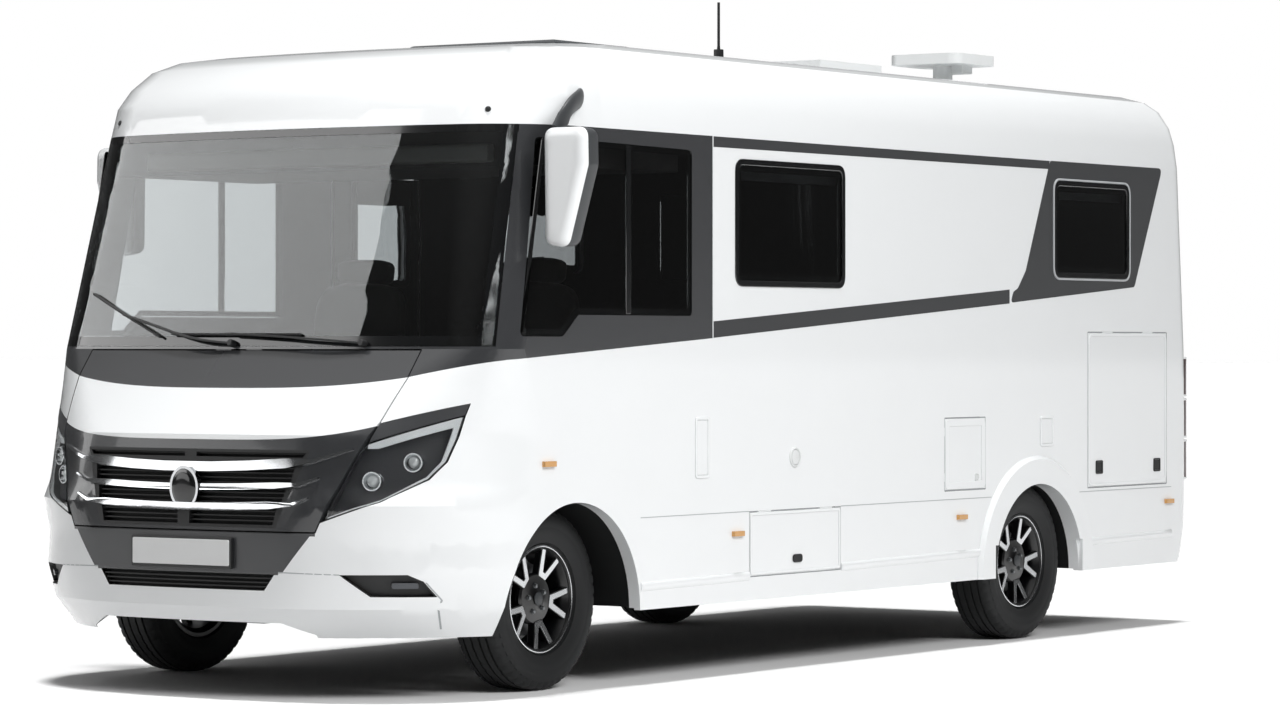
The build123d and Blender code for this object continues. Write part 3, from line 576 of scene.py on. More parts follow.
@dataclass
class Bench:
    """Makes pieces from meshes and hangs each on its body."""

    made: int = 0
    merge: float = 0.00002
    bevel_from: float = 40.0

    def piece(self, name: str, mesh: bmesh.types.BMesh, finish: Finish, body: str,
              bevel: float = 0.0, smooth: float = 35.0) -> bpy.types.Object:
        """Turns a mesh into a piece of the motorhome.

        Args:
            name: the piece's name.
            mesh: its shape, in metres.
            finish: its material.
            body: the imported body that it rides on.
            bevel: edge radius in millimetres.
            smooth: largest angle in degrees that is shaded smooth.

        Returns:
            The new object.
        """
        bmesh.ops.remove_doubles(mesh, verts=mesh.verts, dist=self.merge)
        bmesh.ops.recalc_face_normals(mesh, faces=mesh.faces)
        data = bpy.data.meshes.new(name)
        mesh.to_mesh(data)
        mesh.free()
        data.materials.append(finish.material())
        item = bpy.data.objects.new(name, data)
        bpy.context.scene.collection.objects.link(item)
        if bevel:
            edge = item.modifiers.new("edge", "BEVEL")
            edge.width, edge.segments, edge.limit_method = bevel * MM, 2, "ANGLE"
            edge.angle_limit = math.radians(self.bevel_from)
        data.shade_smooth()
        data.set_sharp_from_angle(angle=math.radians(smooth))
        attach(item, body)
        self.made += 1
        return item

    def prism(self, name: str, outline: Section, facing: Facing, low: float, high: float,
              finish: Finish, body: str, bevel: float = 1.0, slot: str = "") -> bpy.types.Object:
        """Flat outline pushed out to a thickness.

        Args:
            name: the piece's name.
            outline: closed outline across the facing axis.
            facing: the axis that it is pushed along.
            low: lower level on that axis.
            high: higher level on that axis.
            finish: its material.
            body: the body that it rides on.
            bevel: edge radius.
            slot: not used.

        Returns:
            The new object.
        """
        mesh = bmesh.new()
        self.add_prism(mesh, outline, facing, low, high)
        return self.piece(name, mesh, finish, body, bevel)

    @staticmethod
    def add_prism(mesh: bmesh.types.BMesh, outline: Section, facing: Facing, low: float,
                  high: float) -> None:
        """Adds a closed prism to a mesh.

        Args:
            mesh: the mesh that it goes into.
            outline: closed outline across the facing axis.
            facing: the axis that it is pushed along.
            low: lower level on that axis.
            high: higher level on that axis.
        """
        floor = [mesh.verts.new(placed(facing, p, low)) for p in outline]
        roof = [mesh.verts.new(placed(facing, p, high)) for p in outline]
        mesh.faces.new(floor)
        mesh.faces.new(roof)
        stitch(mesh, floor, roof)

    @staticmethod
    def add_ring(mesh: bmesh.types.BMesh, outer: Section, inner: Section, facing: Facing, low: float,
                 high: float) -> None:
        """Adds the frame between two outlines that have the same number of points.

        Args:
            mesh: the mesh that it goes into.
            outer: the larger outline.
            inner: the smaller outline.
            facing: the axis across the frame.
            low: lower level on that axis.
            high: higher level on that axis.
        """
        stitch_round(mesh, [[mesh.verts.new(placed(facing, p, level)) for p in line]
                            for line, level in ((outer, low), (outer, high), (inner, high), (inner, low))])

    def ring(self, name: str, outer: Section, width: float, radius: float, facing: Facing, low: float,
             high: float, finish: Finish, body: str, bevel: float = 1.5) -> bpy.types.Object:
        """Frame of one width that follows an outline with rounded corners.

        Args:
            name: the piece's name.
            outer: corners of the outer edge, counter-clockwise.
            width: width of the frame.
            radius: outer corner radius.
            facing: the axis across the frame.
            low: lower level on that axis.
            high: higher level on that axis.
            finish: its material.
            body: the body that it rides on.
            bevel: edge radius.

        Returns:
            The new object.
        """
        mesh = bmesh.new()
        inner = rounded(inset(outer, width), max(radius - width, 4.0))
        self.add_ring(mesh, rounded(outer, radius), inner, facing, low, high)
        return self.piece(name, mesh, finish, body, bevel)

    @staticmethod
    def add_turned(mesh: bmesh.types.BMesh, profile: Section, centre: Point3, axis: Vector,
                   segments: int = 48, closed: bool = True,
                   trim: Callable[[int, int], float] | None = None) -> None:
        """Adds a turned shape to a mesh.

        Args:
            mesh: the mesh that it goes into.
            profile: distance along the axis and radius of each point.
            centre: where the axis starts.
            axis: its direction.
            segments: steps round the axis.
            closed: joins the profile's last point to its first.
            trim: millimetres taken off the radius at a profile point and step.
        """
        along = axis.normalized()
        side = along.orthogonal().normalized()
        up = along.cross(side)
        rows = []
        for k in range(segments):
            angle = 2 * math.pi * k / segments
            out = side * math.cos(angle) + up * math.sin(angle)
            rows.append([mesh.verts.new((Vector(centre) + along * a
                                         + out * (r - (trim(i, k) if trim else 0.0))) * MM)
                         for i, (a, r) in enumerate(profile)])
        spans = len(profile) if closed else len(profile) - 1
        for k in range(segments):
            here, there = rows[k], rows[(k + 1) % segments]
            for i in range(spans):
                j = (i + 1) % len(profile)
                mesh.faces.new((here[i], here[j], there[j], there[i]))

    def turned(self, name: str, profile: Section, centre: Point3, axis: Vector, finish: Finish,
               body: str, segments: int = 48, closed: bool = True,
               smooth: float = 35.0) -> bpy.types.Object:
        """One turned piece.

        Args:
            name: the piece's name.
            profile: distance along the axis and radius of each point.
            centre: where the axis starts.
            axis: its direction.
            finish: its material.
            body: the body that it rides on.
            segments: steps round the axis.
            closed: joins the profile's last point to its first.
            smooth: largest angle shaded smooth.

        Returns:
            The new object.
        """
        mesh = bmesh.new()
        self.add_turned(mesh, profile, centre, axis, segments, closed)
        return self.piece(name, mesh, finish, body, smooth=smooth)

    @staticmethod
    def add_sweep(mesh: bmesh.types.BMesh, path: Sequence[Vector], shape: Section,
                  up: Vector = Vector((0, 0, 1)), sizes: Sequence[float] | None = None) -> None:
        """Adds a shape swept along a path, with both ends closed.

        Args:
            mesh: the mesh that it goes into.
            path: points along the way, in millimetres.
            shape: closed section, across and up.
            up: the direction of the section's second axis.
            sizes: scale of the section at each point.
        """
        layers = []
        for i, spot in enumerate(path):
            run = (path[min(i + 1, len(path) - 1)] - path[max(i - 1, 0)]).normalized()
            across = run.cross(up).normalized()
            over = across.cross(run)
            grow = sizes[i] if sizes else 1.0
            layers.append([spot + across * a * grow + over * b * grow for a, b in shape])
        Bench.add_layers(mesh, layers)

    @staticmethod
    def add_layers(mesh: bmesh.types.BMesh, layers: Sequence[Sequence[Vector]]) -> None:
        """Adds the skin over a stack of closed loops, with both ends closed.

        Args:
            mesh: the mesh that it goes into.
            layers: loops with the same number of points, in millimetres.
        """
        rows = [[mesh.verts.new(spot * MM) for spot in loop] for loop in layers]
        for here, there in zip(rows, rows[1:]):
            stitch(mesh, here, there)
        mesh.faces.new(rows[0])
        mesh.faces.new(rows[-1])

    def holed(self, name: str, outer: Section, holes: Sequence[Section], facing: Facing, low: float,
              high: float, finish: Finish, body: str) -> bpy.types.Object:
        """Flat sheet with holes.

        Args:
            name: the piece's name.
            outer: its outline.
            holes: the outlines of its holes.
            facing: the axis across the sheet.
            low: lower level on that axis.
            high: higher level on that axis.
            finish: its material.
            body: the body that it rides on.

        Returns:
            The new object.
        """
        mesh = bmesh.new()
        for line in (outer, *holes):
            verts = [mesh.verts.new(placed(facing, p, low)) for p in line]
            for i, vert in enumerate(verts):
                mesh.edges.new((vert, verts[(i + 1) % len(verts)]))
        bmesh.ops.triangle_fill(mesh, use_beauty=True, edges=mesh.edges[:])
        grown = bmesh.ops.extrude_face_region(mesh, geom=mesh.faces[:])
        lift = placed(facing, (0.0, 0.0), high - low)
        moved = [v for v in grown["geom"] if isinstance(v, bmesh.types.BMVert)]
        bmesh.ops.translate(mesh, verts=moved, vec=lift)
        return self.piece(name, mesh, finish, body)


def bent(points: Sequence[Point3], radius: float, steps: int = 6) -> list[Vector]:
    """Rounds the inner corners of an open path.

    Args:
        points: the path's corners in millimetres.
        radius: how far from a corner its bend starts.
        steps: straight pieces in each bend.

    Returns:
        The points of the rounded path.
    """
    spots = [Vector(p) for p in points]
    made = [spots[0]]
    for before, here, after in zip(spots, spots[1:], spots[2:]):
        back, ahead = before - here, after - here
        start = here + back.normalized() * min(radius, back.length * 0.49)
        end = here + ahead.normalized() * min(radius, ahead.length * 0.49)
        for k in range(steps + 1):
            t = k / steps
            made.append(start * (1 - t) ** 2 + here * 2 * t * (1 - t) + end * t**2)
    made.append(spots[-1])
    return made


class FrontSkin:
    """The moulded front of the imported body, read back by looking at it from ahead."""

    NODES = ("front_mask", "front_bumper", "plate_panel", "headlights", "bonnet", "cab_frame",
             "windscreen", "front_cap")
    FAR = -6.0
    STRAY = 14.0
    # height, foremost place and corner radius of each plan section of the nose
    NOSES = ((250, -3190, 990), (367, -3245, 860), (505, -3244, 775), (640, -3244, 790),
             (775, -3236, 710), (840, -3218, 740), (1050, -3180, 750), (1240, -3010, 480),
             (1390, -2890, 260), (2296, -2645, 370), (2415, -2600, 340))
    NOSE_R = 4500.0

    def __init__(self) -> None:
        """Gathers the front panels into one search tree."""
        verts: list[Vector] = []
        faces: list[list[int]] = []
        for name in self.NODES:
            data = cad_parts[name].data
            start = len(verts)
            verts += [v.co for v in data.vertices]
            faces += [[start + i for i in p.vertices] for p in data.polygons]
        self.tree = BVHTree.FromPolygons(verts, faces)

    def ideal(self, x: float, z: float) -> float:
        """Nose surface worked out from the body's plan sections.

        Args:
            x: distance from the centre line, either side.
            z: height.

        Returns:
            Its place along the body in millimetres.
        """
        low, high = self.NOSES[0], self.NOSES[-1]
        for below, above in zip(self.NOSES, self.NOSES[1:]):
            if below[0] <= z <= above[0]:
                low, high = below, above
        share = min(max((z - low[0]) / (high[0] - low[0]), 0.0), 1.0)
        nose, corner = (low[i] + share * (high[i] - low[i]) for i in (1, 2))
        run = WALL_X - corner
        drop = math.sqrt((self.NOSE_R - corner) ** 2 - run**2)
        turn = math.atan2(run, drop)
        if abs(x) <= self.NOSE_R * math.sin(turn):
            return nose + self.NOSE_R - math.sqrt(self.NOSE_R**2 - x**2)
        return nose + self.NOSE_R - drop - math.sqrt(max(corner**2 - (abs(x) - run) ** 2, 0.0))

    def y(self, x: float, z: float) -> float:
        """Outer surface at a place in the front view, or the ideal one over gaps and recesses.

        Args:
            x: distance from the centre line, plus to the left.
            z: height.

        Returns:
            Its place along the body in millimetres.
        """
        expected = self.ideal(x, z)
        hit = self.tree.ray_cast(Vector((x * MM, self.FAR, z * MM)), Vector((0, 1, 0)))[0]
        if hit is None or abs(hit.y / MM - expected) > self.STRAY:
            return expected
        return hit.y / MM

    def normal(self, x: float, z: float, step: float = 12.0) -> Vector:
        """Outward direction of the surface at a place in the front view.

        Args:
            x: distance from the centre line, plus to the left.
            z: height.
            step: how far apart the surface is read.

        Returns:
            The unit normal.
        """
        across = Vector((2 * step, self.y(x + step, z) - self.y(x - step, z), 0))
        up = Vector((0, self.y(x, z + step) - self.y(x, z - step), 2 * step))
        return across.cross(up).normalized()

    def point(self, x: float, z: float, lift: float = 0.0) -> Vector:
        """Point on the surface, moved outwards by lift, in millimetres."""
        return Vector((x, self.y(x, z), z)) + self.normal(x, z) * lift

    def drape(self, bench: Bench, name: str, outline: Section, lift: float, thick: float,
              finish: Finish, body: str, cell: float = 40.0, side: Side = Side.LEFT,
              slot: str = "") -> bpy.types.Object:
        """Lays a sheet with a front-view outline on the body's surface.

        Args:
            bench: makes the piece.
            name: the piece's name.
            outline: closed outline, x and z, drawn on the left half.
            lift: height of its outer face above the surface.
            thick: its thickness, inwards.
            finish: its material.
            body: the body that it rides on.
            cell: largest step between points.
            side: the right side gets the mirror image.
            slot: not used.

        Returns:
            The new object.
        """
        mesh = bmesh.new()
        flat = [(x * side.value, z) for x, z in outline]
        mesh.faces.new([mesh.verts.new((x, 0, z)) for x, z in flat])
        for axis in (0, 2):
            values = [v.co[axis] for v in mesh.verts]
            spot = math.ceil(min(values) / cell) * cell
            while spot < max(values):
                normal = Vector((axis == 0, 0, axis == 2))
                bmesh.ops.bisect_plane(mesh, geom=mesh.verts[:] + mesh.edges[:] + mesh.faces[:],
                                       plane_co=normal * spot, plane_no=normal, dist=0.01)
                spot += cell
        bmesh.ops.triangulate(mesh, faces=mesh.faces)
        front = mesh.verts[:]
        shell = bmesh.ops.extrude_face_region(mesh, geom=mesh.faces[:])
        back = {v for v in shell["geom"] if isinstance(v, bmesh.types.BMVert)}
        for vert in front + list(back):
            x, z = vert.co.x, vert.co.z
            depth = lift - thick if vert in back else lift
            vert.co = self.point(x, z, depth) * MM
        return bench.piece(name, mesh, finish, body, smooth=30.0)

    def wall(self, bench: Bench, name: str, outline: Section, high: float, low: float, thick: float,
             finish: Finish, body: str, side: Side = Side.LEFT) -> bpy.types.Object:
        """Stands a thin rim along a front-view outline, square to the surface.

        Args:
            bench: makes the piece.
            name: the piece's name.
            outline: closed outline, counter-clockwise on the left half.
            high: lift of its outer edge.
            low: lift of its inner edge.
            thick: its thickness, to the inside.
            finish: its material.
            body: the body that it rides on.
            side: the right side gets the mirror image.

        Returns:
            The new object.
        """
        mesh = bmesh.new()
        inner = inset(outline, thick)
        edges = ((outline, high), (outline, low), (inner, low), (inner, high))
        stitch_round(mesh, [[mesh.verts.new(self.point(x * side.value, z, lift) * MM) for x, z in line]
                            for line, lift in edges])
        return bench.piece(name, mesh, finish, body)


@dataclass
class Studio:
    """Camera at the photograph's place, a pale floor and soft lights."""

    focal_px: float = 4270.3
    width_px: float = 1280.0
    height_px: float = 726.0
    horizon_px: float = 345.26
    azimuth: float = 34.391
    eye: Point3 = (11137.0, -16282.0, 1405.0)
    sensor: float = 36.0
    fill: float = 0.17
    overhead_power: float = 2.95
    overhead_angle: float = 8.0
    floor_half: float = 300.0
    # rise of a reflected ray, then the brightness of the walls there
    walls_rise: Point2 = (0.42, 0.9)
    walls_tone: Point2 = (0.06, 0.95)

    # name, place, aim, width and height in metres, power, whether it lights surfaces, roll
    SOFTBOXES = (
        ("softbox_key", (10.8, -5.0, 8.5), (0.0, -0.5, 1.0), (7.0, 5.0), 1250.0, True, 0.0),
        ("softbox_screen", (-10.2, -9.4, 7.2), (-3.0, -0.4, 1.9), (13.0, 6.0), 760.0, False, 14.0),
        ("softbox_chrome", (-8.5, -13.5, 3.2), (0.0, -3.2, 0.9), (7.0, 3.0), 120.0, False, 0.0),
    )

    def camera(self) -> None:
        """Sets up the camera with the photograph's view."""
        data = bpy.data.cameras.new("camera")
        data.sensor_width = self.sensor
        data.lens = self.focal_px / self.width_px * self.sensor
        data.shift_y = (self.horizon_px - self.height_px / 2) / self.width_px
        data.clip_start, data.clip_end = 0.1, 1000.0
        view = bpy.data.objects.new("camera", data)
        view.location = Vector(self.eye) * MM
        view.rotation_euler = (math.pi / 2, 0.0, math.radians(self.azimuth))
        bpy.context.scene.collection.objects.link(view)
        bpy.context.scene.camera = view

    def floor(self) -> None:
        """Lays a wide pale floor that throws back less light than it shows."""
        mesh = bmesh.new()
        half = self.floor_half
        mesh.faces.new([mesh.verts.new((x, y, 0)) for x, y in rect(-half, half, -half, half)])
        data = bpy.data.meshes.new("studio_floor")
        mesh.to_mesh(data)
        mesh.free()
        data.materials.append(SCREED.material())
        floor = bpy.data.objects.new("studio_floor", data)
        bpy.context.scene.collection.objects.link(floor)

    def overhead(self) -> None:
        """Hangs the ceiling light that draws the shadow under the vehicle."""
        data = bpy.data.lights.new("overhead", "SUN")
        data.energy, data.angle = self.overhead_power, math.radians(self.overhead_angle)
        bpy.context.scene.collection.objects.link(bpy.data.objects.new("overhead", data))

    def softbox(self, name: str, at: Point3, aim: Point3, size: Point2, watts: float,
                paints: bool, roll: float) -> None:
        """Hangs one soft light that no camera sees.

        Args:
            name: the light's name.
            at: its place in metres.
            aim: the point that it faces, in metres.
            size: its width and height in metres.
            watts: its power.
            paints: True for a light that only lights surfaces, False for one only seen in reflections.
            roll: turn of the panel about its own middle, in degrees.
        """
        data = bpy.data.lights.new(name, "AREA")
        data.shape, data.size, data.size_y, data.energy = "RECTANGLE", size[0], size[1], watts
        light = bpy.data.objects.new(name, data)
        light.location = at
        aimed = (Vector(aim) - Vector(at)).to_track_quat("-Z", "Y")
        light.rotation_euler = (aimed @ Quaternion((0, 0, 1), math.radians(roll))).to_euler()
        light.visible_camera = False
        light.visible_diffuse, light.visible_glossy = paints, not paints
        bpy.context.scene.collection.objects.link(light)

    def sky(self) -> None:
        """Surrounds the studio with white, and reflections with walls that darken to the floor."""
        world = bpy.data.worlds.new("studio")
        bpy.context.scene.world = world
        world.use_nodes = True
        tree = world.node_tree
        tree.nodes.clear()
        way = add_node(tree, "ShaderNodeTexCoord").outputs["Generated"]
        split = add_node(tree, "ShaderNodeSeparateXYZ", links={0: way})
        (low, high), (dark, pale) = self.walls_rise, self.walls_tone
        rise = add_node(tree, "ShaderNodeMapRange", {"From Min": low, "From Max": high, "To Min": dark,
                                                     "To Max": pale}, {"Value": split.outputs[2]})
        walls = add_node(tree, "ShaderNodeCombineColor", links={i: rise.outputs[0] for i in range(3)})
        ray = add_node(tree, "ShaderNodeLightPath")
        mirrored, scattered = (add_node(tree, "ShaderNodeMath", {"operation": "MINIMUM", 1: 1.0},
                                        {0: ray.outputs[depth]}).outputs[0]
                               for depth in ("Glossy Depth", "Diffuse Depth"))
        seen = add_node(tree, "ShaderNodeMix", {"data_type": "RGBA", 6: (1.0, 1.0, 1.0, 1.0)},
                        {0: mirrored, 7: walls.outputs[0]})
        tone = add_node(tree, "ShaderNodeMix", {"data_type": "RGBA", 7: (self.fill,) * 3 + (1.0,)},
                        {0: scattered, 6: seen.outputs[2]})
        glow = add_node(tree, "ShaderNodeBackground", {"Strength": 1.0}, {"Color": tone.outputs[2]})
        add_node(tree, "ShaderNodeOutputWorld", links={"Surface": glow.outputs[0]})

    def build(self) -> None:
        """Sets the whole studio."""
        self.camera()
        self.floor()
        self.sky()
        self.overhead()
        for settings in self.SOFTBOXES:
            self.softbox(*settings)
        bpy.context.scene.view_settings.view_transform = "Standard"


@dataclass
class FrontFace:
    """Lamps, grille, badge, plate, fog lamp recesses and air intake of the nose."""

    skin: FrontSkin
    cover_t: float = 3.0
    bowl_drop: float = 46.0
    barrel_r: float = 41.0
    badge: Point3 = (0.0, -3231.0, 837.0)
    plate: Box = (-251.0, 251.0, 531.0, 634.0)
    plate_y: Point2 = (-3259.0, -3238.0)

    # outlines in the front view, x and z, on the left half or across the middle
    LAMP = ((672, 722), (866, 793), (991, 879), (1031, 947), (1049, 1037), (1062, 1124), (797, 1018),
            (772, 985), (680, 748))
    GUIDE = ((797, 1015), (796, 1000), (833, 1000), (1040, 1080), (1036, 1052), (1020, 948), (986, 888),
             (865, 800), (684, 732), (674, 724), (866, 795), (989, 881), (1029, 948), (1047, 1037),
             (1060, 1122))
    STRIP = ((799, 1024), (1063, 1129), (1073, 1173), (821, 1096))
    BARRELS = ((820, 874), (944, 947))
    FOG = ((720, 504), (820, 420), (1006, 416), (979, 477), (941, 504))
    FOG_LAMP = ((889, 447), (966, 447), (968, 470), (891, 470))
    INTAKE = ((-402, 438), (402, 438), (449, 501), (-449, 501))
    # size and place of each loop of the badge's dome
    BADGE_DOME = ((1.0, 20.0), (1.0, -8.0), (0.93, -12.0), (0.75, -15.0), (0.4, -17.0))
    # run of each bumper seam and how it is widened
    SEAMS = (("top", ((470, 509), (722, 503)), (0.0, 4.0)),
             ("end", ((984, 474), (1014, 403), (972, 285)), (5.0, 0.0)))
    MOUTH = ((-450, 686), (450, 686), (573, 990), (-573, 990))

    def headlight(self, bench: Bench, side: Side) -> None:
        """Builds one headlight: dark bowl, two lens barrels, light guide, strip and clear cover.

        Args:
            bench: makes the pieces.
            side: the side that it is on.
        """
        tag = side.name.lower()
        skin = self.skin
        bowl = skin.drape(bench, f"headlight_bowl_{tag}", self.LAMP, -self.bowl_drop, 3.0, LAMP_BOWL,
                          "coach", side=side, slot="headlamp")
        skin.wall(bench, f"headlight_rim_{tag}", self.LAMP, -self.cover_t - 0.3, -self.bowl_drop, 2.5,
                  GREY_PLASTIC, "coach", side)
        skin.drape(bench, f"light_guide_{tag}", self.GUIDE, -self.cover_t - 1.0, 12.0, LIGHT_GUIDE,
                   "coach", side=side)
        skin.drape(bench, f"headlight_strip_{tag}", self.STRIP, 1.0, 8.0, GRAPHITE, "coach", side=side)
        skin.drape(bench, f"headlight_cover_{tag}", self.LAMP, 0.0, self.cover_t, CLEAR_COVER, "coach",
                   side=side)
        if side is Side.LEFT:
            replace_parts(bowl, "headlights")
        for number, (x, z) in enumerate(self.BARRELS):
            self.barrel(bench, f"{tag}_{number}", side, x, z)

    def barrel(self, bench: Bench, tag: str, side: Side, x: float, z: float) -> None:
        """Builds one projector with its chrome ring.

        Args:
            bench: makes the pieces.
            tag: end of the pieces' names.
            side: the side that the lamp is on.
            x: its distance from the centre line.
            z: its height.
        """
        axis = Vector((0.36 * side.value, -0.93, 0.0)).normalized()
        centre = tuple(self.skin.point(x * side.value, z, -24.0) - axis * 10)
        r = self.barrel_r
        ring = ((-26, r - 3), (-26, r), (4, r), (9, r - 3), (9, r - 8), (2, r - 10), (-6, r - 14),
                (-12, r - 18), (-14, r - 18))
        bench.turned(f"lens_ring_{tag}", ring, centre, axis, CHROME, "coach")
        eye = ((-20, 0.3), (-20, r - 15), (-12, r - 15), (-3, r - 20), (3, r - 28), (6, r - 36), (6.5, 0.3))
        bench.turned(f"lens_eye_{tag}", eye, centre, axis, LENS_GLASS, "coach")

    def grille(self, bench: Bench) -> None:
        """Builds the dark backing and the fine louvres behind the chrome bars, and the badge."""
        self.skin.drape(bench, "grille_backing", self.MOUTH, -40.0, 3.0, GRILLE_BLACK, "bonnet", 60.0)
        heights = [694.0 + 19.0 * k for k in range(16)]
        self.slats(bench, "grille_louvres", heights, (686.0, 448.0, 0.4), -20.0, 9.0, 24, "bonnet")
        x, y, z = self.badge
        mesh = bmesh.new()
        dish = oval(62, 76, 48)
        bench.add_layers(mesh, [[Vector((x + a * grow, y + drop, z + b * grow)) for a, b in dish]
                                for grow, drop in self.BADGE_DOME])
        bench.piece("badge_disc", mesh, GLOSS_BLACK, "bonnet")

    def slats(self, bench: Bench, name: str, heights: Sequence[float], foot: Point3, lift: float,
              half_deep: float, steps: int, body: str) -> None:
        """Builds thin bars across an opening that widens upwards.

        Args:
            bench: makes the piece.
            name: the piece's name.
            heights: height of each bar.
            foot: the opening's lower edge, its half width there and its growth with height.
            lift: place of the bars over the surface.
            half_deep: half their depth.
            steps: straight pieces in each bar.
            body: the body that they ride on.
        """
        mesh = bmesh.new()
        low, width, growth = foot
        for z in heights:
            half = width + (z - low) * growth
            spots = [self.skin.point(-half + 2 * half * k / steps, z, lift) for k in range(steps + 1)]
            bench.add_sweep(mesh, spots, rect(-half_deep, half_deep, -2.5, 2.5))
        bench.piece(name, mesh, GRILLE_BLACK, body)

    def plate_holder(self, bench: Bench) -> None:
        """Builds the blank number plate in its holder."""
        x0, x1, z0, z1 = self.plate
        front, back = self.plate_y
        bench.prism("plate_holder", rounded(rect(x0 - 9, x1 + 9, z0 - 12, z1 + 9), 8), Facing.Y, front + 3,
                    back, BLACK_PLASTIC, "coach", 1.5)
        bench.prism("plate_blank", rounded(rect(*self.plate), 6), Facing.Y, front, front + 2.8,
                    ENAMEL_WHITE, "coach", 0.6)

    def fog(self, bench: Bench, side: Side) -> None:
        """Builds the dark recess beside the intake with its lamp.

        Args:
            bench: makes the pieces.
            side: the side that it is on.
        """
        tag = side.name.lower()
        self.skin.drape(bench, f"fog_recess_{tag}", self.FOG, -26.0, 3.0, BLACK_PLASTIC, "coach",
                        side=side)
        self.skin.wall(bench, f"fog_rim_{tag}", self.FOG, -0.5, -26.0, 2.5, BLACK_PLASTIC, "coach", side)
        self.skin.drape(bench, f"fog_lamp_{tag}", rounded(self.FOG_LAMP, 8), -12.0, 12.0, CAP_GREY,
                        "coach", 20.0, side)

    def seams(self, bench: Bench, side: Side) -> None:
        """Draws the joints of the bumper as fine dark lines.

        Args:
            bench: makes the pieces.
            side: the side that they are on.
        """
        for name, run, (dx, dz) in self.SEAMS:
            outline = [*run, *((x + dx, z + dz) for x, z in reversed(run))]
            self.skin.drape(bench, f"bumper_seam_{name}_{side.name.lower()}", outline, 0.4, 0.5, SEAM_GREY,
                            "coach", side=side)

    def intake(self, bench: Bench) -> None:
        """Builds the lower air intake with its bars."""
        self.skin.drape(bench, "intake_backing", self.INTAKE, -34.0, 3.0, GRILLE_BLACK, "coach", 60.0)
        self.slats(bench, "intake_bars", (452.0, 469.0, 486.0), (438.0, 400.0, 0.72), -14.0, 8.0, 20,
                   "coach")

    def build(self, bench: Bench) -> None:
        """Builds the whole face."""
        for side in Side:
            self.headlight(bench, side)
            self.fog(bench, side)
            self.seams(bench, side)
        self.grille(bench)
        self.plate_holder(bench)
        self.intake(bench)


@dataclass
class Windscreen:
    """Printed border of the windscreen, its wipers and the rolled blind behind it."""

    skin: FrontSkin
    low: float = 1402.0
    top: float = 2290.0
    blind: Point3 = (900.0, -2392.0, 2183.0)

    # pivot x, then the blade's outer and inner ends, x and z
    WIPERS = ((-35.0, (-902.0, 1616.0), (-437.0, 1435.0)), (606.0, (-370.0, 1447.0), (304.0, 1445.0)))
    PIVOT_Z = 1409.0

    def border(self, bench: Bench) -> None:
        """Lays the dark band round the glass."""
        low, top = self.low, self.top
        bands = {"low": ((-1124, low), (1124, low), (1122, low + 40), (-1122, low + 40)),
                 "top": ((-1084, top - 30), (1084, top - 30), (1081, top), (-1081, top)),
                 "left": ((1084, low), (1125, low), (1079, top), (1040, top)),
                 "right": ((-1084, low), (-1040, top), (-1079, top), (-1125, low))}
        for name, outline in bands.items():
            self.skin.drape(bench, f"screen_band_{name}", outline, 0.7, 0.6, GLOSS_BLACK, "coach", 60.0)

    def wipers(self, bench: Bench) -> None:
        """Builds two wipers with flat arms and rubber blades."""
        arms, rubber = bmesh.new(), bmesh.new()
        for pivot_x, outer, inner in self.WIPERS:
            pivot = self.skin.point(pivot_x, self.PIVOT_Z, 20.0)
            middle = ((outer[0] + inner[0]) / 2, (outer[1] + inner[1]) / 2)
            saddle = self.skin.point(*middle, 26.0)
            half = self.skin.point(pivot_x * 0.7 + middle[0] * 0.3, 1420.0, 36.0)
            bench.add_sweep(arms, bent([tuple(pivot), tuple(half), tuple(saddle)], 120.0, 10),
                            rounded(rect(-11, 11, -4, 4), 3, 2))
            bench.add_turned(arms, ((-20, 0.5), (-20, 15), (6, 15), (12, 11), (12, 0.5)), tuple(pivot),
                             Vector((0, -1, 0.2)), 24)
            bench.add_sweep(arms, self.along(outer, inner, 15.0), rounded(rect(-7, 7, -4, 5), 2, 2))
            bench.add_sweep(rubber, self.along(outer, inner, 6.0), rect(-2.5, 2.5, -3, 6))
        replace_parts(bench.piece("wiper_arms", arms, BLACK_PLASTIC, "coach"), "wipers")
        bench.piece("wiper_rubbers", rubber, RUBBER_SEAL, "coach")

    def along(self, start: Point2, end: Point2, lift: float, steps: int = 14) -> list[Vector]:
        """Points over the glass from one place in the front view to another.

        Args:
            start: first place, x and z.
            end: last place.
            lift: height over the glass.
            steps: straight pieces.

        Returns:
            The points in millimetres.
        """
        return [self.skin.point(start[0] + (end[0] - start[0]) * k / steps,
                                start[1] + (end[1] - start[1]) * k / steps, lift) for k in range(steps + 1)]

    def blind_case(self, bench: Bench) -> None:
        """Builds the pale case of the rolled blind across the top of the screen."""
        half, y, z = self.blind
        mesh = bmesh.new()
        profile = rounded(rect(y - 26, y + 24, z - 38, z + 37), 16)
        bench.add_layers(mesh, [[Vector((x, a, b)) for a, b in profile] for x in (-half, half)])
        bench.piece("blind_case", mesh, BLIND_GREY, "coach", 6.0)

    def build(self, bench: Bench) -> None:
        """Builds border, wipers and blind."""
        self.border(bench)
        self.wipers(bench)
        self.blind_case(bench)


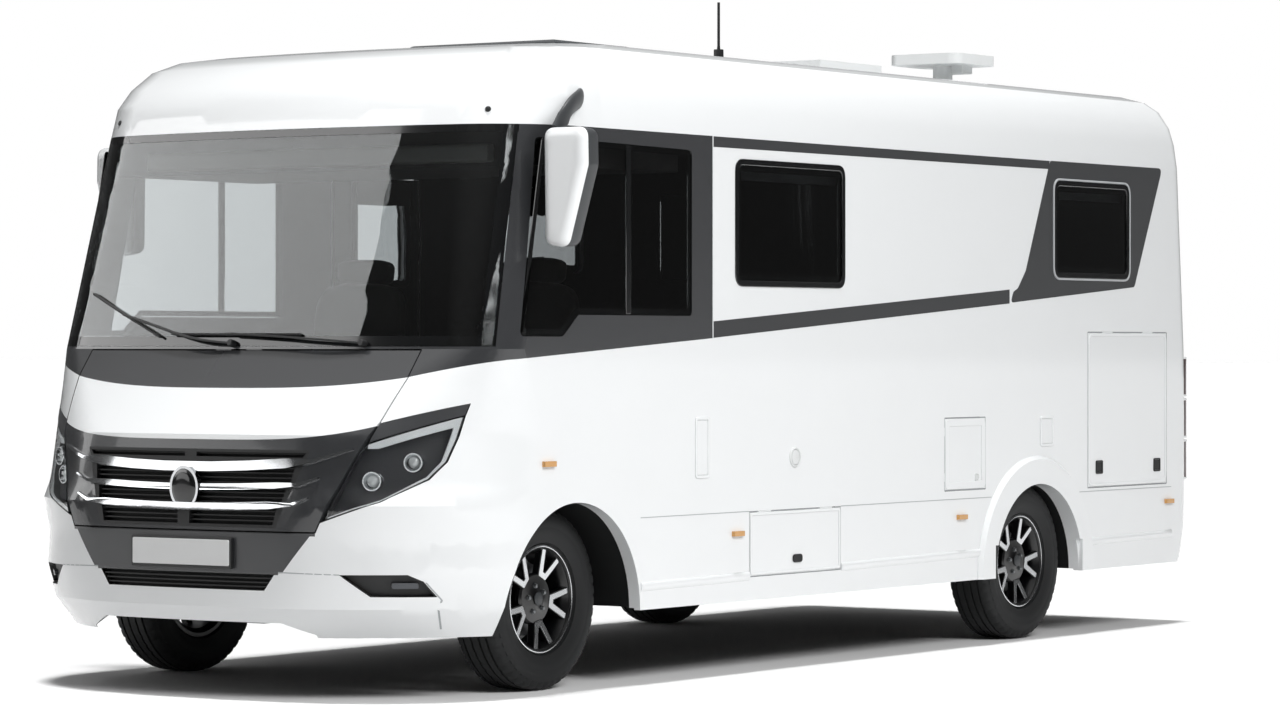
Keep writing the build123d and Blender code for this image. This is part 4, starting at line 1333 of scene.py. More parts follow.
@dataclass
class SideGraphics:
    """Graphite foil stripes along both walls, with the field round the rear window."""

    foil_t: float = 0.6
    glue_t: float = 0.05
    cab_end: float = -1175.0
    start_gap: float = 6.0
    rise: tuple[Point2, Point2] = ((-1175.0, 1436.0), (1380.0, 1603.0))
    low_end: float = 1374.0
    low_depth: Point2 = (70.0, 66.0)
    top_z: float = 2291.0
    top_depth: Point2 = (45.0, 40.0)
    top_end: Point2 = (1752.0, 1764.0)
    door: Point2 = (-850.0, -200.0)
    door_gap: float = 6.5
    line: Point2 = (-1177.0, -1171.0)
    line_low: float = 1430.0
    line_lift: float = 0.4
    field_corner: float = 26.0
    window_corner: float = 66.0

    # the field's outline and the edges of the window in it, y and z
    FIELD = ((1768.0, 2292.0), (2929.0, 2294.0), (2632.0, 1694.0), (1384.0, 1606.0), (1410.0, 1658.0),
             (1454.0, 1676.0), (1530.0, 1760.0))
    WINDOW = (1800.0, 2578.0, 1724.0, 2206.0)

    def lower(self, y: float) -> float:
        """Lower edge of the rising stripe at a place along the wall."""
        (y0, z0), (y1, z1) = self.rise
        return z0 + (y - y0) * (z1 - z0) / (y1 - y0)

    def stripe(self, bench: Bench, side: Side, tag: str, start: float, end: float, body: str) -> None:
        """One stretch of the rising stripe.

        Args:
            bench: makes the piece.
            side: the wall that it is on.
            tag: end of the piece's name.
            start: its front end.
            end: its rear end.
            body: the body that it rides on.
        """
        z0, z1 = self.lower(start), self.lower(end)
        outline = [(start, z0), (end, z1), (end, z1 + self.low_depth[1]), (start, z0 + self.low_depth[0])]
        self.sheet(bench, side, f"foil_low_{tag}", outline, FOIL, body)

    def sheet(self, bench: Bench, side: Side, name: str, outline: Section, finish: Finish, body: str,
              holes: Sequence[Section] = (), lift: float = 0.0) -> None:
        """Lays one foil on a wall.

        Args:
            bench: makes the piece.
            side: the wall that it is on.
            name: the piece's name.
            outline: its outline, y and z.
            finish: its material.
            body: the body that it rides on.
            holes: the outlines of its holes.
            lift: height of its back above the wall.
        """
        bench.holed(f"{name}_{side.name.lower()}", outline, holes, Facing.X,
                    *off_wall(side, lift + self.glue_t, lift + self.foil_t), finish, body)

    def build(self, bench: Bench) -> None:
        """Lays every foil."""
        window = rounded(rect(*self.WINDOW), self.window_corner)
        start = self.cab_end + self.start_gap
        for side in Side:
            field = rounded(self.FIELD, self.field_corner, 4)
            self.sheet(bench, side, "foil_field", field, FOIL, "coach", (window,))
            top = [(start, self.top_z - self.top_depth[0]),
                   (self.top_end[0], self.top_z - self.top_depth[1]),
                   (self.top_end[1], self.top_z), (start, self.top_z)]
            self.sheet(bench, side, "foil_top", top, FOIL, "coach")
            if side is Side.LEFT:
                self.stripe(bench, side, "whole", start, self.low_end, "coach")
            else:
                self.stripe(bench, side, "front", start, self.door[0] - self.door_gap, "coach")
                self.stripe(bench, side, "door", *self.door, "entrance_door")
                self.stripe(bench, side, "rear", self.door[1] + self.door_gap, self.low_end, "coach")
            line = rect(*self.line, self.line_low, self.top_z)
            self.sheet(bench, side, "foil_hairline", line, FOIL_WHITE, "coach", lift=self.line_lift)


@dataclass
class WindowTrim:
    """Frames, printed borders, blinds and dividers of every pane."""

    corner: float = 66.0
    pale_w: float = 9.0
    dark_w: float = 26.0
    print_in: float = 20.0
    print_w: float = 34.0
    cab_print_w: float = 24.0
    sill_z: float = 1532.0
    head_z: float = 2224.0

    # name, side, outer edges y and z, thin pale frame round it, how far its blind is down
    PANES = (("dinette", Side.LEFT, (-1003.0, -110.0, 1656.0, 2203.0), False, 70.0),
             ("kitchen", Side.RIGHT, (440.0, 1158.0, 1750.0, 2202.0), False, 145.0),
             ("bedroom_left", Side.LEFT, (1796.0, 2582.0, 1720.0, 2210.0), True, 70.0),
             ("bedroom_right", Side.RIGHT, (1796.0, 2582.0, 1720.0, 2210.0), True, 440.0))
    CAB = ((-2400.0, 2240.0), (-2556.0, 1444.0), (-2272.0, 1444.0), (-2162.0, 1532.0))
    CAB_REAR = {Side.LEFT: -1334.0, Side.RIGHT: -1215.0}
    CAB_DIVIDER = {Side.LEFT: (-1823.0, -1787.0), Side.RIGHT: (-1633.0, -1592.0)}
    CAB_SHADE = ((-2548.0, 1450.0), (-2360.0, 1450.0), (-2168.0, 2230.0), (-2392.0, 2230.0))
    DOOR = (-704.0, -296.0, 1686.0, 2164.0)
    # heights of each layer over the wall's outer face
    PALE = (-2.0, 7.0)
    DARK = (-2.0, 5.0)
    PRINT = (-11.0, -8.5)
    CAB_PRINT = (-12.0, -8.4)
    DIVIDER = (-9.0, 2.0)
    BLIND = (-46.0, -31.0)
    DOOR_FRAME = (-1.0, 6.0)
    DOOR_BLIND = (-60.0, -47.0)

    def pane(self, bench: Bench, name: str, side: Side, box: Box, pale: bool, drop: float) -> None:
        """Frames one living-area pane.

        Args:
            bench: makes the pieces.
            name: the window's name.
            side: the wall that it is in.
            box: outer edges of the frame, y and z.
            pale: adds the thin pale outer frame.
            drop: how far the blind is down.
        """
        if pale:
            bench.ring(f"frame_pale_{name}", rect(*box), self.pale_w, self.corner, Facing.X,
                       *off_wall(side, *self.PALE), FRAME_GREY, "coach", 2.0)
            box = shrunk(box, self.pale_w + 1)
        bench.ring(f"frame_dark_{name}", rect(*box), self.dark_w, self.corner - 8, Facing.X,
                   *off_wall(side, *self.DARK), GLOSS_BLACK, "coach", 2.5)
        box = shrunk(box, self.print_in)
        bench.ring(f"print_{name}", rect(*box), self.print_w, self.corner - 20, Facing.X,
                   *off_wall(side, *self.PRINT), GLOSS_BLACK, "coach", 0.3)
        blind = rounded(rect(box[0] + 6, box[1] - 6, box[3] - drop, box[3] - 4), 12)
        bench.prism(f"blind_{name}", blind, Facing.X, *off_wall(side, *self.BLIND), GREY_PLASTIC, "coach",
                    5.0)

    def cab(self, bench: Bench, side: Side) -> None:
        """Prints the border of one stepped cab pane and adds its divider.

        Args:
            bench: makes the pieces.
            side: the wall that it is in.
        """
        tag, rear = side.name.lower(), self.CAB_REAR[side]
        outline = [*self.CAB, (rear, self.sill_z), (rear, self.head_z)]
        mesh = bmesh.new()
        bench.add_ring(mesh, rounded(outline, 22), rounded(inset(outline, self.cab_print_w), 16), Facing.X,
                       *off_wall(side, *self.CAB_PRINT))
        bench.piece(f"cab_pane_print_{tag}", mesh, GLOSS_BLACK, "coach")
        if side is Side.RIGHT:
            bench.prism(f"cab_pane_shade_{tag}", self.CAB_SHADE, Facing.X,
                        *off_wall(side, *self.CAB_PRINT), GLOSS_BLACK, "coach", 0.3)
        bar = rect(*self.CAB_DIVIDER[side], self.sill_z + 2, self.head_z + 2)
        bench.prism(f"cab_pane_divider_{tag}", bar, Facing.X, *off_wall(side, *self.DIVIDER), GLOSS_BLACK,
                    "coach", 2.0)

    def door(self, bench: Bench) -> None:
        """Frames the pane of the entrance door on both faces and rolls its blind up."""
        y0, y1, _, z1 = self.DOOR
        body = "entrance_door"
        bench.ring("frame_door_pane", rect(*self.DOOR), 24.0, 48.0, Facing.X,
                   *off_wall(Side.RIGHT, *self.DOOR_FRAME), GLOSS_BLACK, body, 2.0)
        bench.ring("frame_door_inside", rect(*shrunk(self.DOOR, -12.0)), 34.0, 52.0, Facing.X,
                   *off_wall(Side.RIGHT, *self.BLIND), GREY_PLASTIC, body, 3.0)
        bench.prism("blind_door", rounded(rect(y0, y1, z1 - 108, z1), 12), Facing.X,
                    *off_wall(Side.RIGHT, *self.DOOR_BLIND), GREY_PLASTIC, body, 4.0)

    def build(self, bench: Bench) -> None:
        """Frames every window."""
        for name, side, box, pale, drop in self.PANES:
            self.pane(bench, name, side, box, pale, drop)
        for side in Side:
            self.cab(bench, side)
        self.door(bench)


@dataclass
class WallFittings:
    """Door frames, locks, service flaps, filler cap, seams and mouldings on the walls."""

    proud: float = 0.1
    rib_foot: Point2 = (-1716.0, 412.0)
    rib_slope: float = 0.0105
    seam_z: Point2 = (690.0, 693.5)
    filler: Point3 = (1170.0, -523.0, 917.0)

    # edges of the doors and flaps, y and z
    GARAGE = (2150.0, 2972.0, 713.0, 1465.0)
    CASSETTE = (770.0, 1141.0, 736.0, 1065.0)
    LOCKER = (-885.0, -150.0, 415.0, 686.0)
    DOOR = (-850.0, -200.0, 706.0, 2180.0)
    LOCKER_LOCK = (-545.0, -469.0, 458.0, 494.0)
    FLAPS = (("vent", (-1311.0, -1204.0, 843.0, 1103.0)), ("inlet", (1669.0, 1798.0, 920.0, 1066.0)))
    # piece, side, edges, width, corner radius and body of each raised rim
    RIMS = (("garage_left", Side.LEFT, GARAGE, 15.0, 40.0, "garage_door_left"),
            ("garage_right", Side.RIGHT, GARAGE, 15.0, 40.0, "garage_door_right"),
            ("cassette", Side.LEFT, CASSETTE, 34.0, 26.0, "cassette_flap"),
            ("locker", Side.LEFT, LOCKER, 12.0, 14.0, "locker_flap"),
            ("entrance", Side.RIGHT, DOOR, 18.0, 60.0, "entrance_door"))
    GARAGE_LOCKS = ((2262.0, 808.0), (2869.0, 806.0))
    # start and end of each stretch between the arches and the tail
    RUNS = ((-1716.0, 1203.0), (2057.0, 3028.0))
    RIB = ((0.0, -26.0), (7.0, -16.0), (9.0, 0.0), (5.0, 10.0), (0.0, 14.0))

    def latch(self, bench: Bench, name: str, side: Side, y: float, z: float, body: str,
              size: Point2 = (35.0, 33.0), finish: Finish = BLACK_PLASTIC) -> None:
        """Builds one push lock: bezel and recessed paddle.

        Args:
            bench: makes the pieces.
            name: the lock's name.
            side: the wall that it is on.
            y: its place along the wall.
            z: its height.
            body: the body that it rides on.
            size: half width and half height.
            finish: its material.
        """
        outer = rect(y - size[0], y + size[0], z - size[1], z + size[1])
        bench.ring(f"lock_bezel_{name}", outer, 7.0, 9.0, Facing.X, *off_wall(side, self.proud, 5.0),
                   finish, body, 1.5)
        bench.prism(f"lock_paddle_{name}", rounded(inset(outer, 8.0), 4), Facing.X,
                    *off_wall(side, self.proud, 2.6), finish, body, 1.0)

    def flap_frames(self, bench: Bench) -> None:
        """Builds the raised rims of the doors and flaps, and the sealant round them."""
        for name, side, box, width, corner, body in self.RIMS:
            bench.ring(f"rim_{name}", rect(*shrunk(box, 2.0)), width, corner, Facing.X,
                       *off_wall(side, self.proud, 4.0), GELCOAT_PLAIN, body, 2.5)
            bench.ring(f"seal_{name}", rect(*shrunk(box, -4.6)), 3.6, 1.0, Facing.X,
                       *off_wall(side, -2.2, -0.8), SEAM_GREY, body, 0.0)

    def locks(self, bench: Bench) -> None:
        """Builds every lock and handle."""
        for number, (y, z) in enumerate(self.GARAGE_LOCKS):
            for side in Side:
                tag = side.name.lower()
                self.latch(bench, f"garage_{tag}_{number}", side, y, z, f"garage_door_{tag}")
        self.latch(bench, "cassette", Side.LEFT, 1062.0, 790.0, "cassette_flap", (17.0, 19.0),
                   WHITE_PLASTIC)
        self.latch(bench, "entrance", Side.RIGHT, -256.0, 1330.0, "entrance_door", (32.0, 78.0))
        bench.prism("lock_locker", rounded(rect(*self.LOCKER_LOCK), 17), Facing.X,
                    *off_wall(Side.LEFT, self.proud, 7.0), BLACK_PLASTIC, "locker_flap", 3.0)

    def service(self, bench: Bench) -> None:
        """Builds the small fixed flaps and the round filler."""
        for name, box in self.FLAPS:
            bench.ring(f"flap_rim_{name}", rect(*box), 13.0, 16.0, Facing.X,
                       *off_wall(Side.LEFT, self.proud, 6.0), GELCOAT_PLAIN, "coach", 2.5)
            bench.prism(f"flap_lid_{name}", rounded(rect(*shrunk(box, 15.0)), 8), Facing.X,
                        *off_wall(Side.LEFT, self.proud, 4.0), GELCOAT_PLAIN, "coach", 1.5)
        out = Vector((1, 0, 0))
        bench.turned("filler_ring", ((0.1, 34), (0.1, 46), (5, 45), (7, 41), (5, 35)), self.filler, out,
                     WHITE_PLASTIC, "coach", 40)
        bench.turned("filler_cap", ((0.1, 0.5), (0.1, 33), (5, 32), (8, 26), (9, 0.5)), self.filler, out,
                     WHITE_PLASTIC, "coach", 40)

    def mouldings(self, bench: Bench) -> None:
        """Builds the rib along the skirts and the sealed seam over them."""
        mesh, seams = bmesh.new(), bmesh.new()
        runs = [(side, *run) for side in Side for stretch in self.RUNS
                for run in self.clear(side, *stretch)]
        for side, start, end in runs:
            bench.add_layers(mesh, [[Vector((side.value * (WALL_X + out), y, self.rib_z(y) + up))
                                     for out, up in self.RIB] for y in (start, end)])
            bench.add_prism(seams, rect(start, end, *self.seam_z), Facing.X, *off_wall(side, 0.05, 0.5))
        bench.piece("skirt_rib", mesh, GELCOAT_PLAIN, "coach", 2.0)
        bench.piece("skirt_seam", seams, SEAM_GREY, "coach")

    def rib_z(self, y: float) -> float:
        """Height of the skirt's rib, a little higher towards the tail."""
        return self.rib_foot[1] + (y - self.rib_foot[0]) * self.rib_slope

    def clear(self, side: Side, start: float, end: float) -> list[Point2]:
        """Stretches of a run that keep off the locker flap.

        Args:
            side: the wall that the run is on.
            start: its front end.
            end: its rear end.

        Returns:
            Start and end of each stretch.
        """
        if side is Side.RIGHT or start > self.LOCKER[1]:
            return [(start, end)]
        return [(start, self.LOCKER[0] - 7), (self.LOCKER[1] + 7, end)]

    def build(self, bench: Bench) -> None:
        """Builds all fittings."""
        self.flap_frames(bench)
        self.locks(bench)
        self.service(bench)
        self.mouldings(bench)


@dataclass
class Wheel:
    """One wheel: black alloy with five double spokes, cut faces, tyre, disc and bolts."""

    corner: str
    x: float
    y: float
    side: Side
    z: float = 372.0
    first: float = -80.0

    # along the axis and radius
    RIM = ((-86, 221), (-86, 206), (-66, 186), (30, 183), (56, 190), (78, 207), (85, 211), (86, 221),
           (80, 221), (72, 205.2), (-78, 205.2), (-80, 221))
    # radius and sideways place of the cut face of one double spoke
    FACE = ((93, -24), (208, -70), (213, -49), (116, -8), (116, 8), (213, 49), (208, 70), (93, 24))
    # profiles of hub, cut edge, cap, brake disc and bolt, along the axis and radius
    HUB = ((70, 0.5), (70, 22), (64, 31), (59, 66), (57, 98), (48, 106), (30, 106), (18, 62), (18, 31),
           (-20, 31), (-20, 0.5))
    EDGE = ((82, 212), (86.5, 212.5), (87.5, 215), (86.5, 219), (82, 219))
    CAP = ((68, 0.5), (68, 27), (73, 28), (78, 23), (80, 12), (80.6, 0.5))
    DISC = ((-34, 70), (-34, 152), (-26, 153), (-24, 152), (-14, 152), (-12, 153), (-6, 152), (-6, 70),
            (-4, 40), (-30, 40))
    BOLT = ((55, 0.4), (55, 12), (63, 12), (63, 9.5), (70, 9), (71, 7), (71, 0.4))
    BOLT_CIRCLE = 55.0
    # half of the tyre's profile up to its tread, then the middles of the grooves round it
    WALL = ((80, 205.4), (80, 224), (90, 231), (95, 231), (104, 256), (109, 268), (112, 290), (111.5, 296),
            (112.3, 298), (111, 318), (107, 338), (104, 341), (99, 354), (90, 364), (78, 368.6))
    GROOVES = (58.0, 20.0)

    def spot(self, radius: float, across: float, level: float, angle: float) -> Vector:
        """A place on the wheel's face, in millimetres.

        Args:
            radius: distance out along the spoke.
            across: distance sideways from the spoke's middle.
            level: height over the face, which leans out towards the rim.
            angle: the spoke's angle in degrees.

        Returns:
            The place.
        """
        turn = math.radians(angle)
        face = 60.0 + (radius - 95.0) * 0.13 + level
        along = math.cos(turn) * radius - math.sin(turn) * across
        up = math.sin(turn) * radius + math.cos(turn) * across
        return Vector((self.x + self.side.value * face, self.y + along, self.z + up))

    def spokes(self, bench: Bench) -> None:
        """Builds the black spokes and their cut faces."""
        black, cut = bmesh.new(), bmesh.new()
        for number in range(5):
            angle = self.first + 72 * number
            for mesh, line, levels in ((black, inset(self.FACE, -4.0), (-34.0, -3.0, -0.8)),
                                       (cut, self.FACE, (-1.0, 0.6))):
                bench.add_layers(mesh, [[self.spot(r, t, level, angle) for r, t in line]
                                        for level in levels])
        body = f"wheel_{self.corner}"
        bench.piece(f"spokes_{self.corner}", black, ALLOY_BLACK, body, 2.0)
        bench.piece(f"spoke_faces_{self.corner}", cut, ALLOY_CUT, body, 0.8)

    def tyre(self, bench: Bench) -> None:
        """Builds the tyre with grooves round it and cuts across its shoulders."""
        tread: Outline = []
        for middle in self.GROOVES:
            tread += [(middle + 5, 370.5), (middle + 4, 361.5), (middle - 4, 361.5), (middle - 5, 371)]
        half = [*self.WALL, *tread]
        profile = [(-a, r) for a, r in half] + list(reversed(half))
        last = len(profile) - 1
        shoulder = {i for k in range(11, 15) for i in (k, last - k)}
        ribs = {19, 22, 15, last - 15}

        def trim(i: int, k: int) -> float:
            """Depth of the cuts across shoulders and ribs.

            Args:
                i: number of the profile point.
                k: step round the tyre.

            Returns:
                Millimetres taken off the radius.
            """
            if i in shoulder:
                return 6.0 if k % 4 == 0 else 0.0
            return 4.0 if i in ribs and k % 4 == 2 else 0.0

        mesh = bmesh.new()
        bench.add_turned(mesh, profile, (self.x, self.y, self.z), Vector((self.side.value, 0, 0)), 192,
                         trim=trim)
        tyre = bench.piece(f"tread_{self.corner}", mesh, TYRE_RUBBER, f"wheel_{self.corner}")
        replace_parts(tyre, f"tyre_{self.corner}")

    def build(self, bench: Bench) -> None:
        """Builds rim, spokes, tyre, bolts, cap and brake disc."""
        centre, axis = (self.x, self.y, self.z), Vector((self.side.value, 0, 0))
        body = f"wheel_{self.corner}"
        mesh = bmesh.new()
        bench.add_turned(mesh, self.RIM, centre, axis, 96)
        bench.add_turned(mesh, self.HUB, centre, axis, 96)
        rim = bench.piece(f"rim_{self.corner}", mesh, ALLOY_BLACK, body)
        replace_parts(rim, f"wheel_{self.corner}")
        bench.turned(f"rim_edge_{self.corner}", self.EDGE, centre, axis, ALLOY_CUT, body, 96)
        bench.turned(f"cap_{self.corner}", self.CAP, centre, axis, GREY_PLASTIC, body, 40)
        bench.turned(f"disc_{self.corner}", self.DISC, centre, axis, BRAKE_STEEL, body, 72)
        mesh = bmesh.new()
        for number in range(5):
            turn = math.radians(self.first + 36 + 72 * number)
            at = (self.x, self.y + self.BOLT_CIRCLE * math.cos(turn),
                  self.z + self.BOLT_CIRCLE * math.sin(turn))
            bench.add_turned(mesh, self.BOLT, at, axis, 6)
        bench.piece(f"bolts_{self.corner}", mesh, STEEL_GALV, body)
        self.spokes(bench)
        self.tyre(bench)


@dataclass
class WheelArches:
    """Liners and inner returns of the wheel arches."""

    skin: FrontSkin
    centre_z: float = 318.0
    feet_z: Point2 = (320.0, 318.0)
    uncut_z: float = 2000.0
    # middle, opening radius, liner radius and liner depth, then the height that each liner is flat at
    FRONT = (-2170.0, 450.0, 505.0, 480.0)
    REAR = (1630.0, 425.0, 442.0, 255.0)
    TOPS = (780.0, 772.0)

    @staticmethod
    def bow(y: float, z: float, radius: float, low: float, top: float, steps: int = 40) -> Outline:
        """Arc over a wheel from its front foot to its rear foot.

        Args:
            y: its middle along the body.
            z: its centre height.
            radius: its radius.
            low: height of both feet.
            top: height that the arc is cut off at.
            steps: straight pieces.

        Returns:
            Points y and z.
        """
        made = [(y - radius, low)]
        for k in range(steps + 1):
            turn = math.pi * (1 - k / steps)
            made.append((y + radius * math.cos(turn), min(z + radius * math.sin(turn), top)))
        made.append((y + radius, low))
        return made

    def edge_x(self, y: float, z: float, behind: float) -> float:
        """Distance from the centre line to the body's inner side, less on the rounded nose.

        Args:
            y: place along the body.
            z: height.
            behind: how far it stays off the outer surface.

        Returns:
            The distance in millimetres.
        """
        low, high = 500.0, WALL_X
        for _ in range(14):
            middle = (low + high) / 2
            if self.skin.ideal(middle, z) < y - behind:
                low = middle
            else:
                high = middle
        return min(low, WALL_X - behind)

    def strip(self, mesh: bmesh.types.BMesh, side: Side, outer: Outline, inner: Outline, depth: float,
              behind: float) -> None:
        """Adds the band between two bows.

        Args:
            mesh: the mesh that it goes into.
            side: the wall that it is on.
            outer: the larger bow.
            inner: the smaller bow.
            depth: how far it reaches towards the centre line.
            behind: how far it stays off the outer surface.
        """
        loop = outer + list(reversed(inner))
        edges = [self.edge_x(y, z, behind) for y, z in loop]
        rows = []
        for reach in (depth, 0.0):
            rows.append([mesh.verts.new(placed(Facing.X, p, side.value * (edge - reach)))
                         for p, edge in zip(loop, edges)])
        stitch(mesh, *rows)
        for row in rows:
            for i in range(len(outer) - 1):
                mesh.faces.new((row[i], row[i + 1], row[-2 - i], row[-1 - i]))

    def build(self, bench: Bench) -> None:
        """Builds liners and returns on both sides."""
        liners, returns = bmesh.new(), bmesh.new()
        for side in Side:
            for (y, hole_r, liner_r, depth), top in zip((self.FRONT, self.REAR), self.TOPS):
                z, (foot, lip), free = self.centre_z, self.feet_z, self.uncut_z
                self.strip(liners, side, self.bow(y, z, liner_r + 4, foot, top),
                           self.bow(y, z, liner_r, foot, top - 4), depth, 36.0)
                self.strip(returns, side, self.bow(y, z, hole_r + 3, lip, free),
                           self.bow(y, z, hole_r + 0.2, lip, free), 52.0, 3.0)
        bench.piece("arch_liners", liners, BLACK_PLASTIC, "coach")
        bench.piece("arch_returns", returns, GELCOAT_PLAIN, "coach")


@dataclass
class Mirror:
    """One door mirror: white shell, dark bezel, glass and its curved arm."""

    side: Side
    x: float
    y: float
    bends: tuple[Point3, ...]
    low: float = 1790.0
    high: float = 2268.0
    root: Point3 = (1150.0, -2130.0, 2405.0)

    # inset and distance behind the middle of each loop of the white shell, the dark back and the glass
    SHELL = ((54, -59), (34, -58), (20, -55), (10, -49), (3, -40), (0, -30), (0, -24), (1, -22))
    BACK = ((3, -21.7), (1, -16), (1, 20), (4, 46), (9, 57), (14, 58), (16, 50))
    GLASS = ((18, 50.2), (17, 53.5), (19, 54.5))

    def outline(self, amount: float, radius: float) -> Outline:
        """Outline of the head on the left side.

        Args:
            amount: how far it is moved in.
            radius: corner radius of the full outline.

        Returns:
            The outline, x and z.
        """
        x, low, high = self.x, self.low, self.high
        head = [(x - 96, low + 14), (x + 8, low), (x + 103, high - 150), (x + 100, high),
                (x - 103, high)]
        return rounded(inset(head, amount), max(radius - amount * 0.6, 6.0), 8)

    def stack(self, layers: Sequence[Point2]) -> list[list[Vector]]:
        """Loops of the head at several depths.

        Args:
            layers: inset and distance behind the head's middle.

        Returns:
            The loops in millimetres.
        """
        return [[Vector((a * self.side.value, self.y + depth, b)) for a, b in self.outline(amount, 46.0)]
                for amount, depth in layers]

    def build(self, bench: Bench) -> bpy.types.Object:
        """Builds the mirror.

        Args:
            bench: makes the pieces.

        Returns:
            The white shell.
        """
        tag = self.side.name.lower()
        mesh = bmesh.new()
        bench.add_layers(mesh, self.stack(self.SHELL))
        shell = bench.piece(f"mirror_shell_{tag}", mesh, GELCOAT_PLAIN, "coach", smooth=40.0)
        mesh = bmesh.new()
        bench.add_layers(mesh, self.stack(self.BACK))
        bench.piece(f"mirror_back_{tag}", mesh, GREY_PLASTIC, "coach", smooth=40.0)
        mesh = bmesh.new()
        bench.add_layers(mesh, self.stack(self.GLASS))
        bench.piece(f"mirror_glass_{tag}", mesh, MIRROR_GLASS, "coach")
        path = bent([self.root, *self.bends], 80.0, 10)
        path = [Vector((p.x * self.side.value, p.y, p.z)) for p in path]
        sizes = [1.0 - 0.15 * i / len(path) for i in range(len(path))]
        mesh = bmesh.new()
        bench.add_sweep(mesh, path, oval(20, 44, 20), Vector((0.1, 0.1, 1)), sizes)
        arm = bench.piece(f"mirror_arm_{tag}", mesh, GREY_PLASTIC, "coach", smooth=50.0)
        if self.side is Side.LEFT:
            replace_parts(shell, "mirrors")
            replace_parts(arm, "mirror_arms")
        return shell


@dataclass
class Lights:
    """Rims of the tail lamps and the small lamps on the front cap."""

    skin: FrontSkin
    lamp_x: float = 1095.0
    lamp_y: float = 3205.0
    lamp_r: float = 62.0
    rim_in: float = 5.0
    cap_lamp: Point2 = (974.0, 2351.0)

    # lower and upper end of each tail lamp
    HEIGHTS = ((725.0, 925.0), (935.0, 1135.0), (1145.0, 1345.0))

    def build(self, bench: Bench) -> None:
        """Builds the rims and the cap lamps."""
        mesh, r = bmesh.new(), self.lamp_r
        rim = ((-5, r - 4), (-5, r + 1), (-2, r + 2.4), (2, r + 2.4), (5, r + 1), (5, r - 4))
        for side in Side:
            for low, high in self.HEIGHTS:
                for z in (low + self.rim_in, high - self.rim_in):
                    at = (side.value * self.lamp_x, self.lamp_y, z)
                    bench.add_turned(mesh, rim, at, Vector((0, 0, 1)))
        bench.piece("tail_lamp_rims", mesh, WHITE_PLASTIC, "coach")
        mesh = bmesh.new()
        for side in Side:
            x, z = side.value * self.cap_lamp[0], self.cap_lamp[1]
            bench.add_turned(mesh, ((-2, 0.4), (-2, 12), (3, 12), (6, 9), (7.5, 0.4)),
                             tuple(self.skin.point(x, z)), self.skin.normal(x, z), 24)
        bench.piece("cap_lamps", mesh, BLACK_PLASTIC, "coach")


@dataclass
class Cushion:
    """One upholstered block with rounded, crowned faces."""

    name: str
    centre: Point3
    size: Point3
    lean: float = 0.0
    power: float = 4.5
    crown: float = 0.05

    def build(self, bench: Bench, fill: float = 0.7) -> bpy.types.Object:
        """Args:
            bench: makes the piece.
            fill: not used.

        Returns:
            The new object.
        """
        mesh = bmesh.new()
        bmesh.ops.create_cube(mesh, size=2.0)
        bmesh.ops.subdivide_edges(mesh, edges=mesh.edges[:], cuts=9, use_grid_fill=True)
        turn = Matrix.Rotation(math.radians(self.lean), 3, "X")
        half = Vector(self.size) / 2
        for vert in mesh.verts:
            x, y, z = vert.co
            length = sum(abs(c) ** self.power for c in (x, y, z)) ** (1 / self.power)
            spot = vert.co / length
            swell = 1 + self.crown * (1 - x * x) * (1 - z * z)
            shaped = Vector((spot.x * half.x, spot.y * half.y * swell, spot.z * half.z))
            vert.co = (turn @ shaped + Vector(self.centre)) * MM
        item = bench.piece(self.name, mesh, WOVEN, "coach", smooth=80.0)
        soft = item.modifiers.new("soft", "SUBSURF")
        soft.levels = soft.render_levels = 1
        return item


@dataclass
class Cabin:
    """Seats and steering wheel that show through the glass."""

    seat_x: float = 460.0
    wheel: Point3 = (450.0, -2190.0, 1266.0)
    wheel_dir: Point3 = (0.0, 0.7507, 0.6606)
    wheel_r: float = 205.0

    def seats(self, bench: Bench) -> None:
        """Builds two captain's seats."""
        for side in Side:
            x, tag = side.value * self.seat_x, side.name.lower()
            base = Cushion(f"seat_base_{tag}", (x, -1778.0, 1200.0), (470.0, 480.0, 150.0), 0.0, 5.0, 0.02)
            first = base.build(bench)
            Cushion(f"seat_back_{tag}", (x, -1520.0, 1440.0), (468.0, 118.0, 470.0), -8.0).build(bench)
            Cushion(f"seat_head_{tag}", (x, -1470.0, 1722.0), (280.0, 96.0, 110.0), -8.0).build(bench)
            plinth = rounded(rect(x - 200, x + 200, -1890.0, -1520.0), 30)
            bench.prism(f"seat_plinth_{tag}", plinth, Facing.Z, 816.0, 1116.0, BLACK_PLASTIC, "coach", 8.0)
            if side is Side.LEFT:
                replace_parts(first, "seats")

    def steering(self, bench: Bench) -> None:
        """Builds the steering wheel with a padded rim and three spokes."""
        axis = Vector(self.wheel_dir).normalized()
        mesh = bmesh.new()
        bench.add_turned(mesh, oval(14, 14, 16, (0.0, self.wheel_r)), self.wheel, axis, 72)
        bench.add_turned(mesh, ((-14, 0.5), (-14, 42), (-4, 52), (8, 50), (14, 36), (15, 0.5)), self.wheel,
                         axis, 40)
        across = Vector((1, 0, 0))
        up = axis.cross(across)
        for turn in (0.0, math.pi, -math.pi / 2):
            out = across * math.cos(turn) + up * math.sin(turn)
            path = [Vector(self.wheel) + out * r for r in (40.0, 120.0, self.wheel_r - 8)]
            bench.add_sweep(mesh, path, rounded(rect(-17, 17, -6, 6), 4, 3), axis)
        wheel = bench.piece("steering_ring", mesh, TRIM_SOFT, "steering_wheel")
        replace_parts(wheel, "steering_wheel")

    def build(self, bench: Bench) -> None:
        """Builds the cabin."""
        self.seats(bench)
        self.steering(bench)


